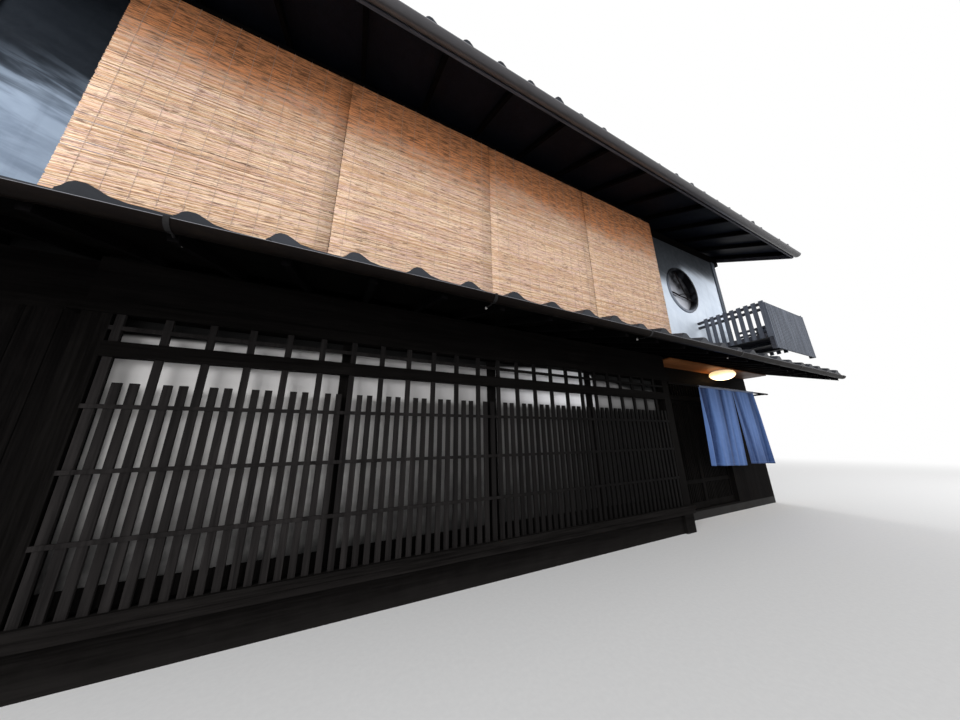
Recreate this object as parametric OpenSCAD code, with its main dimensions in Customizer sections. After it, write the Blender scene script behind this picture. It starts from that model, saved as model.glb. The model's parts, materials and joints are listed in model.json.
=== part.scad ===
// Two-storey wooden townhouse in a row, with a lattice bay, a tiled pent roof and reed blinds.
// X runs along the street to the right, the street side faces -Y, and Z = 0 is the ground.
// The origin lies on the ground under the middle of the roof.

/* [House] */
// Distance between the outer faces of the party walls
frontage = 11300; // [10800:50:12500]
// Distance between the outer faces of the front and rear walls
depth = 7300; // [6000:50:9000]
// Thickness of the front and rear walls
wall_t = 120; // [90:5:180]
// Thickness of the party walls
party_t = 150; // [100:5:200]
// Height of the stone footing above the ground
footing_h = 120; // [80:10:160]
// Side of the square posts in the ground-storey front wall
post_w = 120; // [90:5:140]
// Height of the underside of the lintel beam
lintel_z = 2280; // [2240:10:2300]
// Depth of the lintel beam under its ledger
lintel_h = 300; // [240:10:340]
// Top of the upper floor
upper_floor_z = 2700; // [2640:10:2780]
// Thickness of the floor boards
floor_t = 60; // [40:5:80]
// Depth of the joists under the upper floor
joist_h = 140; // [100:10:180]
// Width of one joist
joist_w = 90; // [60:5:120]
// Number of joists
joist_count = 12; // [8:1:16]

/* [Main roof] */
// Height of the rafter underside at the outer face of the front and rear walls
eave_wall_z = 5775; // [5600:5:5900]
// Rise of the main roof for each unit of run
roof_slope = 0.54; // [0.35:0.01:0.6]
// Reach of the roof boards past the front and rear walls
eave_run = 1265; // [1000:5:1300]
// Reach of the roof past the party walls
verge = 250; // [200:10:400]
// Depth of a rafter
rafter_h = 75; // [60:5:100]
// Width of a rafter
rafter_w = 45; // [35:5:80]
// Number of rafters in each slope
rafter_count = 16; // [15:1:31]
// Thickness of the roof boards
deck_t = 24; // [15:1:36]
// Depth of the wall plate under the rafters at its outer face
plate_h = 200; // [150:10:240]
// Depth of the ridge beam
ridge_beam_h = 240; // [150:10:300]
// Width of the ridge beam
ridge_beam_w = 120; // [90:10:180]
// Distance from the ridge line to the ends of the rafters and roof boards
ridge_gap = 1; // [1:1:5]
// Thickness of the barge boards and fascias
barge_t = 25; // [18:1:40]
// Depth of the barge boards
barge_h = 200; // [150:5:260]
// Depth of the fascias behind the main gutters
fascia_h = 195; // [120:5:220]

/* [Tiles and ridge] */
// Width of one pantile wave along the eaves
tile_pitch = 395; // [300:5:450]
// Thickness of the tiles in the troughs
tile_t = 20; // [12:1:30]
// Height of the pantile wave
tile_wave = 52; // [35:1:70]
// Reach of the main roof's tiles past the fascia
tile_over = 5; // [5:5:60]
// Reach of the pent roof's tiles past its boards
pent_tile_over = 40; // [20:5:60]
// Width of the ridge course
ridge_w = 240; // [200:10:320]
// Number of flat courses under the ridge's round cap
ridge_courses = 3; // [2:1:5]
// Height of one flat ridge course
ridge_course_h = 45; // [35:1:60]
// Step from one flat ridge course to the next
ridge_step = 9; // [4:1:14]

/* [Gutters] */
// Radius of the main gutters to their outer face
gutter_r = 60; // [50:1:80]
// Radius of the pent roof gutter to its outer face
pent_gutter_r = 50; // [40:1:60]
// Thickness of the gutter sheet
gutter_t = 6; // [4:1:10]
// Drop of the main gutter's rim below the roof boards at the eaves
gutter_drop = 125; // [60:1:140]
// Height of the pent gutter's rim above the underside of its roof boards
pent_gutter_rise = 2; // [0:1:6]

/* [Pent roof] */
// Height of the pent rafter underside at the front wall
pent_wall_z = 2719; // [2700:1:2760]
// Rise of the pent roof for each unit of run
pent_slope = 0.32; // [0.26:0.01:0.36]
// Reach of the pent roof boards from the front wall
pent_run = 1310; // [1200:10:1340]
// Depth of a pent rafter
pent_rafter_h = 68; // [50:1:75]
// Number of pent rafters
pent_rafter_count = 25; // [15:1:31]
// Thickness of the pent roof boards
pent_deck_t = 22; // [15:1:30]

/* [Lattice bay] */
// Distance from the left party wall's outer face to the bay
bay_start = 1430; // [1200:10:1700]
// Reach of the lattice's outer face from the front wall
bay_reach = 330; // [280:10:420]
// Width of the bay's end posts
bay_post_w = 150; // [100:5:180]
// Thickness of the bay's cheeks
cheek_t = 30; // [20:1:45]
// Number of lattice sections, one in front of each screen
sections = 4; // [3:1:4]
// Number of slats in a lattice section
slats = 18; // [12:3:24]
// Distance from one slat to the next
slat_pitch = 85; // [70:1:90]
// Width of a slat
slat_w = 46; // [30:1:55]
// Thickness of a slat
slat_t = 20; // [14:1:40]
// Top of the sill beam
sill_z = 350; // [320:5:400]
// Depth of the sill beam
sill_h = 112; // [90:2:140]
// Reach of the bay's rails and beams in front of the slats
beam_proud = 15; // [8:1:25]
// Reach of the bay's rails and beams behind the slats
beam_back = 30; // [15:1:40]
// Step of the sill beam's upper half in front of its lower half
sill_step = 16; // [8:1:25]
// Reach of the sill beam past the end posts
sill_over = 70; // [30:5:100]
// Underside of the thick head rail
head_z = 1880; // [1820:5:1900]
// Depth of the head rail
head_h = 108; // [90:2:130]
// Underside of the bay's top beam
top_beam_z = 2190; // [2150:5:2200]
// Gap between the tops of the short slats and the head rail
short_gap = 175; // [120:5:260]
// Number of thin rails across the slats
rails = 3; // [2:1:4]
// Height of the lowest thin rail
rail_z = 720; // [600:10:800]
// Distance from one thin rail to the next
rail_pitch = 405; // [350:5:420]
// Depth of a thin rail
rail_h = 28; // [20:1:40]
// Reach of a thin rail in front of the slats
rail_proud = 8; // [4:1:14]
// Depth of the bar across the transom
transom_bar_h = 30; // [20:1:40]
// Distance from the slats to the screens behind them
screen_gap = 70; // [40:5:90]
// Thickness of the screens
screen_t = 12; // [8:1:20]
// Width of the dark stiles between the screens
stile_w = 110; // [80:5:140]
// Width of the dark stile at the screens' left end
end_stile_w = 30; // [20:5:60]
// Height of the dark board at the foot of the screens
screen_board_h = 120; // [80:5:160]
// Side of the foot block under the right end of the sill
foot_w = 210; // [150:10:260]

/* [Entrance] */
// Width of the doorway
door_w = 1980; // [1800:10:2100]
// Height of the doorway above the footing
door_h = 1840; // [1780:10:1860]
// Height of the threshold and its track
threshold_h = 30; // [20:1:40]
// Depth of the door head
door_head_h = 80; // [60:5:100]
// Thickness of a door leaf
leaf_t = 32; // [26:1:36]
// Overlap of the two leaves
leaf_overlap = 60; // [40:5:90]
// Width of a leaf's stiles
leaf_stile = 60; // [45:5:75]
// Height of a leaf's bottom rail
leaf_foot_h = 90; // [70:5:110]
// Height of the middle rail above the leaf's foot
leaf_mid_z = 380; // [320:10:450]
// Width of a leaf's slats
leaf_slat_w = 22; // [16:1:28]
// Number of slats in a leaf
leaf_slats = 17; // [11:1:21]
// Thickness of the glass behind a leaf's slats
leaf_glass_t = 4; // [3:0.5:5]
// Height of the finger pulls above the ground
pull_z = 950; // [850:10:1050]
// Width of a finger pull
pull_w = 26; // [18:1:32]
// Height of a finger pull
pull_h = 90; // [60:5:120]
// Depth of a finger pull
pull_depth = 9; // [6:1:14]
// Number of bars over the doorway
door_bars = 25; // [15:2:31]
// Clearance round the moving leaves
door_gap = 6; // [5:0.5:8]
// Radius of the rollers under the leaves
roller_r = 18; // [14:1:20]
// Thickness of the entrance ceiling boards
ceiling_t = 20; // [14:1:24]
// Reach of the entrance ceiling from the wall
ceiling_reach = 400; // [300:10:420]
// Distance from the doorway's middle to the lamp's centre
lamp_x = 845; // [400:5:1000]
// Radius of the opal lamp shade
lamp_r = 205; // [150:5:240]
// Depth of the opal lamp shade
lamp_h = 160; // [120:5:200]
// Radius of the lamp's base
lamp_base_r = 140; // [90:5:150]
// Depth of the lamp's base
lamp_base_h = 25; // [15:1:50]

/* [Noren] */
// Width of the split curtain at the rod
noren_w = 1940; // [1800:10:2300]
// Height of the split curtain's right cloth
noren_h = 1320; // [1100:10:1340]
// Depth of the cloth's folds
noren_t = 60; // [30:1:70]
// Reach of the hem past the top at each side
noren_flare = 130; // [60:10:160]
// Drop of the left cloth's hem below the right cloth's
noren_drop = 22; // [0:1:40]
// Width of the left cloth at the rod
noren_left_w = 1130; // [900:10:1200]
// Height of the seam between the two cloths
noren_seam = 210; // [120:10:300]
// Width of the slit at the hem
noren_slit = 190; // [80:10:220]
// Height of the rod above the ground
rod_z = 2165; // [2130:1:2170]
// Radius of the rod
rod_r = 16; // [12:1:20]
// Distance from the right party wall's outer face to the curtain
noren_end = 640; // [500:10:700]

/* [Upper storey] */
// Distance from the left party wall's outer face to the first blind
blind_start = 920; // [700:10:1100]
// Number of reed blinds
blinds = 4; // [3:1:5]
// Distance from one blind to the next
blind_pitch = 1892; // [1700:1:1900]
// Gap between two blinds
blind_gap = 12; // [6:1:30]
// Thickness of a blind
blind_t = 12; // [8:1:20]
// Distance from the front wall to the blinds' middle
blind_reach = 210; // [150:5:260]
// Bottom of the blinds above the ground
blind_z = 2985; // [2960:5:3100]
// Depth of the rail that the blinds hang from
blind_rail_h = 40; // [30:1:60]
// Distance from the ends of the blinds to the window behind them
window_edge = 110; // [60:10:200]
// Distance from the last blind to the joint beside the round window's wall
wall_joint = 20; // [10:5:60]
// Bottom of the upper windows
window_z = 3450; // [3350:10:3600]
// Height of the upper windows
window_h = 1650; // [1300:10:1750]
// Number of sashes in the upper front window
sashes = 8; // [6:1:10]
// Width of a sash's frame members
sash_w = 45; // [35:1:60]
// Thickness of the sashes
sash_t = 34; // [28:1:36]
// Clearance between the two tracks of the sliding sashes
sash_gap = 3; // [2:0.5:5]
// Thickness of window glass
glass_t = 6; // [4:1:8]
// Distance from the joint beside the blinds to the round window's centre
round_x = 1115; // [900:5:1150]
// Height of the round window's centre
round_z = 4430; // [4200:10:4500]
// Radius of the round opening
round_r = 500; // [350:5:520]
// Width of the ring round the opening
ring_w = 40; // [30:2:80]
// Reach of the ring in front of the wall
ring_proud = 25; // [10:1:40]
// Thickness of the ring's liner through the wall
liner_t = 14; // [10:1:20]
// Radius of the branches in the round window
branch_r = 14; // [9:1:18]
// Width of the corner boards of the upper wall
corner_w = 130; // [100:5:160]
// Thickness of the corner boards of the upper wall
corner_t = 22; // [15:1:30]
// Clearance between the pent roof's tiles and the corner boards
corner_gap = 30; // [10:5:60]

/* [Balcony] */
// Width of the slatted balcony
balcony_w = 1650; // [1300:10:1700]
// Reach of the balcony from the front wall
balcony_reach = 1110; // [900:10:1150]
// Top of the balcony's rail
balcony_top_z = 3700; // [3600:10:3850]
// Bottom of the balcony's front posts and slats
balcony_foot_z = 2800; // [2780:5:2900]
// Underside of the balcony's bearers
bearer_z = 3020; // [3000:5:3080]
// Side of the balcony's corner posts
balcony_post = 60; // [45:1:80]
// Depth of the balcony's rails
balcony_rail = 42; // [30:1:60]
// Distance from the balcony's top rail to the rail under it
balcony_rail_step = 105; // [90:5:220]
// Thickness of the balcony's floor boards
balcony_floor_t = 30; // [20:1:40]
// Height of the pickets above the top rail
picket_up = 22; // [0:2:30]
// Thickness of the balcony's pickets and slats
picket_t = 20; // [12:1:28]
// Width of a side picket
picket_w = 64; // [40:2:80]
// Number of side pickets
pickets = 9; // [6:1:12]
// Number of slats in the balcony's front
front_slats = 30; // [20:1:34]
// Width of a slat in the balcony's front
front_slat_w = 36; // [25:1:40]

/* [Rear] */
// Distance from the middle of the house to the middle of each rear window
rear_window_x = 2600; // [2300:50:2900]
// Width of a rear window
rear_window_w = 2600; // [1800:50:3000]
// Number of sashes in a rear window
rear_sashes = 4; // [2:1:4]
// Bottom of the lower rear windows
rear_low_z = 800; // [500:50:1000]
// Height of the lower rear windows
rear_low_h = 1200; // [900:50:1250]

/* [Hidden] */

// Contact gap of pieces that hang, lie on a slope or run freely
seat = 0.3;
// Height of a pantile wave at its two ends, as a share of its crest
wave_end = 0.058;
half = frontage / 2;
room_half = half - party_t;
front_y = -depth / 2;
front_in = front_y + wall_t;
rear_y = depth / 2;
rear_in = rear_y - wall_t;
lintel_top = lintel_z + lintel_h;

roof_angle = atan(roof_slope);
rafter_v = rafter_h / cos(roof_angle);
deck_v = deck_t / cos(roof_angle);
eave_y = front_y - eave_run;
fascia_y = eave_y - barge_t;
roof_half = half + verge;
cover_half = roof_half + barge_t;
plate_z = eave_wall_z - plate_h;

pent_angle = atan(pent_slope);
pent_rafter_v = pent_rafter_h / cos(pent_angle);
pent_deck_v = pent_deck_t / cos(pent_angle);
pent_y = front_y - pent_run;

bay_x = -half + bay_start;
section_w = slats * slat_pitch;
lattice_x = bay_x + bay_post_w;
lattice_w = sections * section_w;
bay_end = lattice_x + lattice_w + bay_post_w;
lattice_y = front_y - bay_reach;
bay_in = lattice_y + slat_t;
screen_y = bay_in + screen_gap;
beam_y = lattice_y - beam_proud;
sill_low_z = sill_z - sill_h;

door_x = bay_end + post_w;
door_end = door_x + door_w;
door_top = footing_h + door_h;
leaf_w = (door_w + leaf_overlap) / 2 - door_gap;
leaf_z = footing_h + threshold_h + door_gap;
leaf_h = door_top - door_gap - leaf_z;
leaf_front_y = front_y + (wall_t - 2 * leaf_t - door_gap) / 2;
leaf_rear_y = leaf_front_y + leaf_t + door_gap;

noren_x = half - noren_end - noren_w;
lamp_cx = door_x + door_w / 2 + lamp_x;
lamp_cy = front_y - ceiling_reach + lamp_base_r;
lamp_top = lintel_top - ceiling_t - lamp_base_h;

blind_x = -half + blind_start;
blinds_end = blind_x + blinds * blind_pitch - blind_gap;
blind_y = front_y - blind_reach;
blind_top = roof_z(blind_y - blind_t) - blind_rail_h;
window_x = blind_x + window_edge;
window_end = blinds_end - window_edge;
upper_split = blinds_end + wall_joint;
round_cx = upper_split + round_x;
pane_r = round_r - liner_t - seat;
sash_track = sash_t + sash_gap;

balcony_end = cover_half - picket_t;
balcony_x = balcony_end - balcony_w;
balcony_y = front_y - balcony_reach;
balcony_back = front_y - corner_t - seat;

black_wood = [0.12, 0.10, 0.09];
floor_wood = [0.45, 0.32, 0.20];
glass_tint = [0.6, 0.7, 0.75, 0.5];
plaster = [0.33, 0.37, 0.43];
tile_grey = [0.22, 0.23, 0.25];
reed = [0.78, 0.60, 0.38];
stone = [0.55, 0.54, 0.52];
pale = [0.85, 0.85, 0.83];

// Height of the main roof's rafter underside at distance y from the ridge line
function roof_z(y) = eave_wall_z + roof_slope * (depth / 2 - abs(y));
// Height of the main roof boards' upper face
function deck_z(y) = roof_z(y) + rafter_v + deck_v;
// Height of the pent roof's rafter underside
function pent_z(y) = pent_wall_z + pent_slope * (y - front_y);

// Box from its low corner to its high corner
module span(low, high) {
    translate(low)
        cube(high - low);
}

// Solid of one outline in Y and Z, drawn out along X
module along_x(x0, x1, outline) {
    translate([x0, 0, 0])
        rotate([90, 0, 90])
            linear_extrude(x1 - x0)
                polygon(outline);
}

// The outline between two heights that both follow a slope
function sloped(y0, y1, z0, z1, z2, z3) = [[y0, z0], [y1, z1], [y1, z2], [y0, z3]];

// Copies its children to the rear of the house too
module front_and_rear() {
    children();
    mirror([0, 1, 0])
        children();
}

// One wave of pantiles from x0: the end of a long fall, a steep rise to a narrow crest, then the next fall
function wave(x0) = [
    for (p = [[0, wave_end], [0.29, 0], [0.34, 0.3], [0.39, 0.75], [0.45, 1], [0.53, 1], [0.61, 0.72],
              [0.71, 0.32], [0.89, 0.08]])
        [x0 + p[0] * tile_pitch, tile_t + p[1] * tile_wave]
];

// Layer of pantiles on a slope that starts at y0, z0 and rises towards the wall
module pantiles(y0, z0, angle, run) {
    waves = floor(2 * cover_half / tile_pitch);
    edge = (2 * cover_half - waves * tile_pitch) / 2;
    verge_t = tile_t + wave_end * tile_wave;
    crests = [for (i = [0 : waves - 1]) each wave(-cover_half + edge + i * tile_pitch)];
    translate([0, y0, z0])
        rotate([angle, 0, 0])
            translate([0, run, 0])
                rotate([90, 0, 0])
                    linear_extrude(run)
                        polygon(concat(
                            [[-cover_half, 0], [-cover_half, verge_t]],
                            crests,
                            [[cover_half, verge_t], [cover_half, 0]]
                        ));
}

// Half-round gutter along X, open to the top
module gutter(y, z, r) {
    translate([-cover_half, y, z])
        rotate([0, 90, 0])
            difference() {
                cylinder(h = 2 * cover_half, r = r, $fn = 48);
                translate([0, 0, gutter_t])
                    cylinder(h = 2 * cover_half - 2 * gutter_t, r = r - gutter_t, $fn = 48);
                translate([-2 * r, -2 * r, -1])
                    cube([2 * r, 4 * r, 2 * cover_half + 2]);
            }
}

module footing() color(stone) {
    for (y = [front_y, rear_in])
        span([-half, y, 0], [half, y + wall_t, footing_h]);
    for (x = [-half, room_half])
        span([x, front_in, 0], [x + party_t, rear_in, footing_h]);
}

module ground_floor() color(stone)
    span([-room_half, front_in, 0], [room_half, rear_in, footing_h]);

module floor_boards() color(floor_wood)
    span([-room_half, front_in, upper_floor_z - floor_t], [room_half, rear_in, upper_floor_z]);

module floor_joists() color(black_wood) {
    step = (2 * room_half - joist_w) / (joist_count - 1);
    for (i = [0 : joist_count - 1])
        span([-room_half + i * step, front_in, upper_floor_z - floor_t - joist_h],
             [-room_half + i * step + joist_w, rear_in, upper_floor_z - floor_t]);
}

module party_walls() color(plaster) {
    for (x = [-half, room_half])
        along_x(x, x + party_t, [
            [front_in, footing_h], [rear_in, footing_h],
            [rear_in, roof_z(rear_in)], [0, roof_z(0)], [front_in, roof_z(front_in)]
        ]);
}

module rear_wall() color(plaster) {
    difference() {
        span([-half, rear_in, footing_h], [half, rear_y, plate_z]);
        for (s = [-1, 1])
            for (row = [[rear_low_z, rear_low_h], [window_z, window_h]])
                span([s * rear_window_x - rear_window_w / 2, rear_in - 1, row[0]],
                     [s * rear_window_x + rear_window_w / 2, rear_y + 1, row[0] + row[1]]);
    }
}

module boarded_walls() color(black_wood) {
    span([-half + post_w, front_y, footing_h], [bay_x, front_in, lintel_z]);
    span([door_end + post_w, front_y, footing_h], [half - post_w, front_in, lintel_z]);
}

module front_posts() color(black_wood) {
    for (x = [-half, bay_x, bay_end, door_end, half - post_w])
        span([x, front_y, footing_h], [x + post_w, front_y + post_w, lintel_z]);
}

// Lintel beam and, on top of it, the ledger that carries the pent rafters
module lintel_beam() color(black_wood)
    span([-half, front_y, lintel_z], [half, front_in, pent_wall_z]);

module front_wall_upper() color(plaster) {
    difference() {
        span([-half, front_y, pent_wall_z], [upper_split, front_in, plate_z]);
        span([window_x, front_y - 1, window_z], [window_end, front_in + 1, window_z + window_h]);
    }
}

module round_window_wall() color(plaster) {
    difference() {
        span([upper_split, front_y, pent_wall_z], [half, front_in, plate_z]);
        translate([round_cx, front_in + 1, round_z])
            rotate([90, 0, 0])
                cylinder(h = wall_t + 2, r = round_r, $fn = 96);
    }
}

module roof_beams() color(black_wood) {
    front_and_rear()
        along_x(-roof_half, roof_half, sloped(
            front_y, front_in, plate_z, plate_z, roof_z(front_in), roof_z(front_y)));
    w = ridge_beam_w / 2;
    side = roof_z(w) - seat;
    along_x(-room_half, room_half, [
        [-w, side - ridge_beam_h], [w, side - ridge_beam_h], [w, side], [0, roof_z(0) - seat], [-w, side]
    ]);
}

module bay_base() color(black_wood) {
    span([bay_x, bay_in, 0], [bay_end, front_y - screen_gap, sill_low_z]);
    span([bay_end - foot_w, beam_y, 0], [bay_end, front_y, sill_low_z]);
}

module bay_sill() color(black_wood) {
    step_z = sill_z - sill_h / 2;
    along_x(bay_x - sill_over, bay_end + sill_over, [
        [beam_y - sill_step, step_z], [beam_y, step_z], [beam_y, sill_low_z], [front_y, sill_low_z],
        [front_y, sill_z], [beam_y - sill_step, sill_z]
    ]);
}

module bay_posts() color(black_wood) {
    for (x = [bay_x, bay_end - bay_post_w])
        span([x, lattice_y, sill_z], [x + bay_post_w, screen_y, top_beam_z]);
}

module bay_head_rail() color(black_wood)
    span([lattice_x, beam_y, head_z], [bay_end - bay_post_w, bay_in + beam_back, head_z + head_h]);

module bay_top_beam() color(black_wood) {
    span([bay_x - sill_over, beam_y, top_beam_z], [bay_end + sill_over, front_y, lintel_z]);
    along_x(bay_x, bay_end, sloped(
        lattice_y, screen_y, lintel_z, lintel_z, pent_z(screen_y), pent_z(lattice_y)));
}

module bay_cheeks() color(black_wood) {
    for (x = [bay_x, bay_end - cheek_t])
        span([x, screen_y, sill_z], [x + cheek_t, front_y, top_beam_z]);
}

// The bay's lattice: every third slat reaches the head rail
module bay_lattice() color(black_wood) {
    edge = (slat_pitch - slat_w) / 2;
    for (i = [0 : sections * slats - 1])
        span([lattice_x + i * slat_pitch + edge, lattice_y, sill_z],
             [lattice_x + i * slat_pitch + edge + slat_w, bay_in, i % 3 == 0 ? head_z : head_z - short_gap]);
    for (k = [0 : rails - 1])
        span([lattice_x, lattice_y - rail_proud, rail_z + k * rail_pitch],
             [lattice_x + lattice_w, lattice_y + slat_t / 2, rail_z + k * rail_pitch + rail_h]);
}

module transom_grid() color(black_wood) {
    low = head_z + head_h;
    middle = (low + top_beam_z) / 2;
    edge = (slat_pitch - slat_w) / 2;
    for (i = [0 : 3 : sections * slats - 1])
        span([lattice_x + i * slat_pitch + edge, lattice_y, low],
             [lattice_x + i * slat_pitch + edge + slat_w, bay_in, top_beam_z]);
    span([lattice_x, lattice_y, middle - transom_bar_h / 2],
         [bay_end - bay_post_w, bay_in, middle + transom_bar_h / 2]);
}

module screen_frames() color(black_wood) {
    for (k = [0 : sections]) {
        x = lattice_x + k * section_w - (k == 0 ? 0 : k == sections ? stile_w : stile_w / 2);
        span([x, screen_y, sill_z],
             [x + (k == 0 ? end_stile_w : stile_w), screen_y + 3 * screen_t, top_beam_z]);
    }
    span([lattice_x, screen_y, sill_z],
         [lattice_x + lattice_w, screen_y + 3 * screen_t, sill_z + screen_board_h]);
}

module screen_panels() color(pale) {
    for (k = [0 : sections - 1]) {
        left = k == 0 ? end_stile_w : stile_w / 2;
        right = k == sections - 1 ? stile_w : stile_w / 2;
        span([lattice_x + k * section_w + left, screen_y + screen_t, sill_z + screen_board_h],
             [lattice_x + (k + 1) * section_w - right, screen_y + 2 * screen_t, top_beam_z]);
    }
}

module entrance_frame() color(black_wood) {
    span([door_x, front_y, footing_h], [door_end, front_in, footing_h + threshold_h]);
    span([door_x, front_y, door_top], [door_end, front_in, door_top + door_head_h]);
    step = (door_w - leaf_slat_w) / (door_bars - 1);
    for (i = [0 : door_bars - 1])
        span([door_x + i * step, front_y + leaf_t, door_top + door_head_h],
             [door_x + i * step + leaf_slat_w, front_y + 2 * leaf_t, lintel_z]);
}

module entrance_ceiling() color([0.42, 0.27, 0.15])
    span([bay_end + sill_over + seat, front_y - ceiling_reach, lintel_top - ceiling_t],
         [half, front_y, lintel_top]);

// One sliding leaf: stiles, three rails, slats, two rollers and a finger pull sunk in one stile
module leaf(x, y, pull_x) {
    difference() {
        for (s = [x, x + leaf_w - leaf_stile])
            span([s, y, leaf_z], [s + leaf_stile, y + leaf_t, leaf_z + leaf_h]);
        span([pull_x - pull_w / 2, y - 1, pull_z], [pull_x + pull_w / 2, y + pull_depth, pull_z + pull_h]);
    }
    for (r = [[0, leaf_foot_h], [leaf_mid_z, leaf_stile], [leaf_h - leaf_stile, leaf_stile]])
        span([x + leaf_stile, y, leaf_z + r[0]],
             [x + leaf_w - leaf_stile, y + leaf_t, leaf_z + r[0] + r[1]]);
    clear_w = leaf_w - 2 * leaf_stile;
    step = clear_w / (leaf_slats + 1);
    for (i = [1 : leaf_slats])
        span([x + leaf_stile + i * step - leaf_slat_w / 2, y + leaf_t / 4, leaf_z + leaf_foot_h],
             [x + leaf_stile + i * step + leaf_slat_w / 2, y + leaf_t * 3 / 4, leaf_z + leaf_h - leaf_stile]);
    for (s = [leaf_stile * 1.5, leaf_w - leaf_stile * 1.5])
        translate([x + s, y + leaf_t / 4, leaf_z - door_gap + roller_r + seat])
            rotate([-90, 0, 0])
                cylinder(h = leaf_t / 2, r = roller_r, $fn = 32);
}

module door_leaf_left() color(black_wood)
    leaf(door_x + door_gap, leaf_front_y, door_x + door_gap + leaf_stile / 2);
module door_leaf_right() color(black_wood)
    leaf(door_end - door_gap - leaf_w, leaf_rear_y, door_end - door_gap - leaf_stile / 2);

// Glass sheet of one leaf, between its stiles and rails and behind its slats
module leaf_glass(x, y)
    span([x + leaf_stile + seat, y + leaf_t * 3 / 4 + seat, leaf_z + leaf_mid_z + leaf_stile + seat],
         [x + leaf_w - leaf_stile - seat, y + leaf_t * 3 / 4 + seat + leaf_glass_t,
          leaf_z + leaf_h - leaf_stile - seat]);

module leaf_glass_left() color(glass_tint) leaf_glass(door_x + door_gap, leaf_front_y);
module leaf_glass_right() color(glass_tint) leaf_glass(door_end - door_gap - leaf_w, leaf_rear_y);

module noren_rod() color(black_wood) {
    translate([bay_end, lattice_y, rod_z])
        rotate([0, 90, 0])
            cylinder(h = half - bay_end, r = rod_r, $fn = 32);
    span([half - post_w, lattice_y + rod_r / 2, rod_z - rod_r],
         [half - post_w + 2 * rod_r, front_y, rod_z + rod_r]);
}

// Both cloths as one solid: they widen to the hem, and the slit between them opens more to the left
module noren() color([0.16, 0.27, 0.52]) {
    top = rod_z - rod_r - seat;
    hem = top - noren_h;
    slit_x = noren_x + noren_left_w;
    slit_left = slit_x - noren_slit * 2 / 3;
    translate([0, lattice_y + noren_t / 2, 0])
        rotate([90, 0, 0])
            linear_extrude(noren_t)
                polygon([
                    [noren_x, top], [noren_x - noren_flare, hem - noren_drop],
                    [slit_left, hem - noren_drop], [slit_x, top - noren_seam], [slit_left + noren_slit, hem],
                    [noren_x + noren_w + noren_flare, hem], [noren_x + noren_w, top]
                ]);
}

module lamp_base() color(pale)
    translate([lamp_cx, lamp_cy, lamp_top])
        cylinder(h = lamp_base_h, r = lamp_base_r, $fn = 64);

module lamp_shade() color([1, 0.95, 0.85])
    translate([lamp_cx, lamp_cy, lamp_top])
        rotate_extrude($fn = 96)
            intersection() {
                translate([0, -lamp_h / 3])
                    scale([1, lamp_h / 3 * 2 / lamp_r])
                        circle(r = lamp_r, $fn = 96);
                translate([0, -lamp_h])
                    square([lamp_r, lamp_h]);
            }

// Layer on a slope from y0, z0 up to y1, z1, of vertical thickness t
module slope_layer(x0, x1, y0, y1, z0, z1, t)
    along_x(x0, x1, sloped(y0, y1, z0, z1, z1 + t, z0 + t));

// Row of rafters across the house
module rafters(count, y0, y1, z0, z1, t) {
    step = (2 * roof_half - rafter_w) / (count - 1);
    for (i = [0 : count - 1])
        slope_layer(-roof_half + i * step, -roof_half + i * step + rafter_w, y0, y1, z0, z1, t);
}

module pent_rafters() color(black_wood)
    rafters(pent_rafter_count, pent_y, front_y, pent_z(pent_y), pent_z(front_y), pent_rafter_v);

module pent_boards() color(black_wood)
    slope_layer(-roof_half, roof_half, pent_y, front_y,
        pent_z(pent_y) + pent_rafter_v, pent_z(front_y) + pent_rafter_v, pent_deck_v);

module pent_tiles() color(tile_grey) {
    y0 = pent_y - pent_tile_over;
    pantiles(y0, pent_z(y0) + pent_rafter_v + pent_deck_v + seat, pent_angle,
        (front_y - seat - y0) / cos(pent_angle));
}

module pent_gutter() color([0.2, 0.17, 0.15])
    gutter(pent_y - pent_gutter_r - seat, pent_z(pent_y) + pent_rafter_v + pent_gutter_rise, pent_gutter_r);

module roof_rafters() color(black_wood)
    front_and_rear()
        rafters(rafter_count, eave_y, -ridge_gap, roof_z(eave_y), roof_z(ridge_gap), rafter_v);

module roof_boards() color(black_wood)
    front_and_rear()
        slope_layer(-roof_half, roof_half, eave_y, -ridge_gap,
            roof_z(eave_y) + rafter_v, roof_z(ridge_gap) + rafter_v, deck_v);

module roof_tiles() color(tile_grey)
    front_and_rear() {
        y0 = fascia_y - tile_over;
        pantiles(y0, deck_z(y0) + seat, roof_angle,
            (-ridge_w / 2 - seat - y0) / cos(roof_angle));
    }

// Half of the ridge's outline: stepped flat courses that end under the round cap
function ridge_side(side) = [
    for (i = [0 : ridge_courses - 1])
        for (z = [i, i + 1])
            [ridge_w / 2 - i * ridge_step, side + z * ridge_course_h]
];

module ridge_course() color(tile_grey) {
    side = deck_z(ridge_w / 2) + seat;
    peak = deck_z(0) + seat;
    right = ridge_side(side);
    cap_r = ridge_w / 2 - ridge_courses * ridge_step;
    top = side + ridge_courses * ridge_course_h;
    along_x(-cover_half, cover_half, concat(
        [[0, peak]],
        right,
        [for (a = [0 : 15 : 180]) [cap_r * cos(a), top + cap_r * sin(a)]],
        [for (i = [len(right) - 1 : -1 : 0]) [-right[i][0], right[i][1]]]
    ));
}

module barge_boards() color(black_wood) {
    front_and_rear() {
        for (x = [-cover_half, roof_half])
            along_x(x, x + barge_t, sloped(eave_y, 0,
                deck_z(eave_y) - barge_h, deck_z(0) - barge_h, deck_z(0), deck_z(eave_y)));
        foot = deck_z(eave_y) - fascia_h;
        along_x(-cover_half, cover_half, sloped(
            fascia_y, eave_y, foot, foot, deck_z(eave_y), deck_z(fascia_y)));
    }
}

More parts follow.
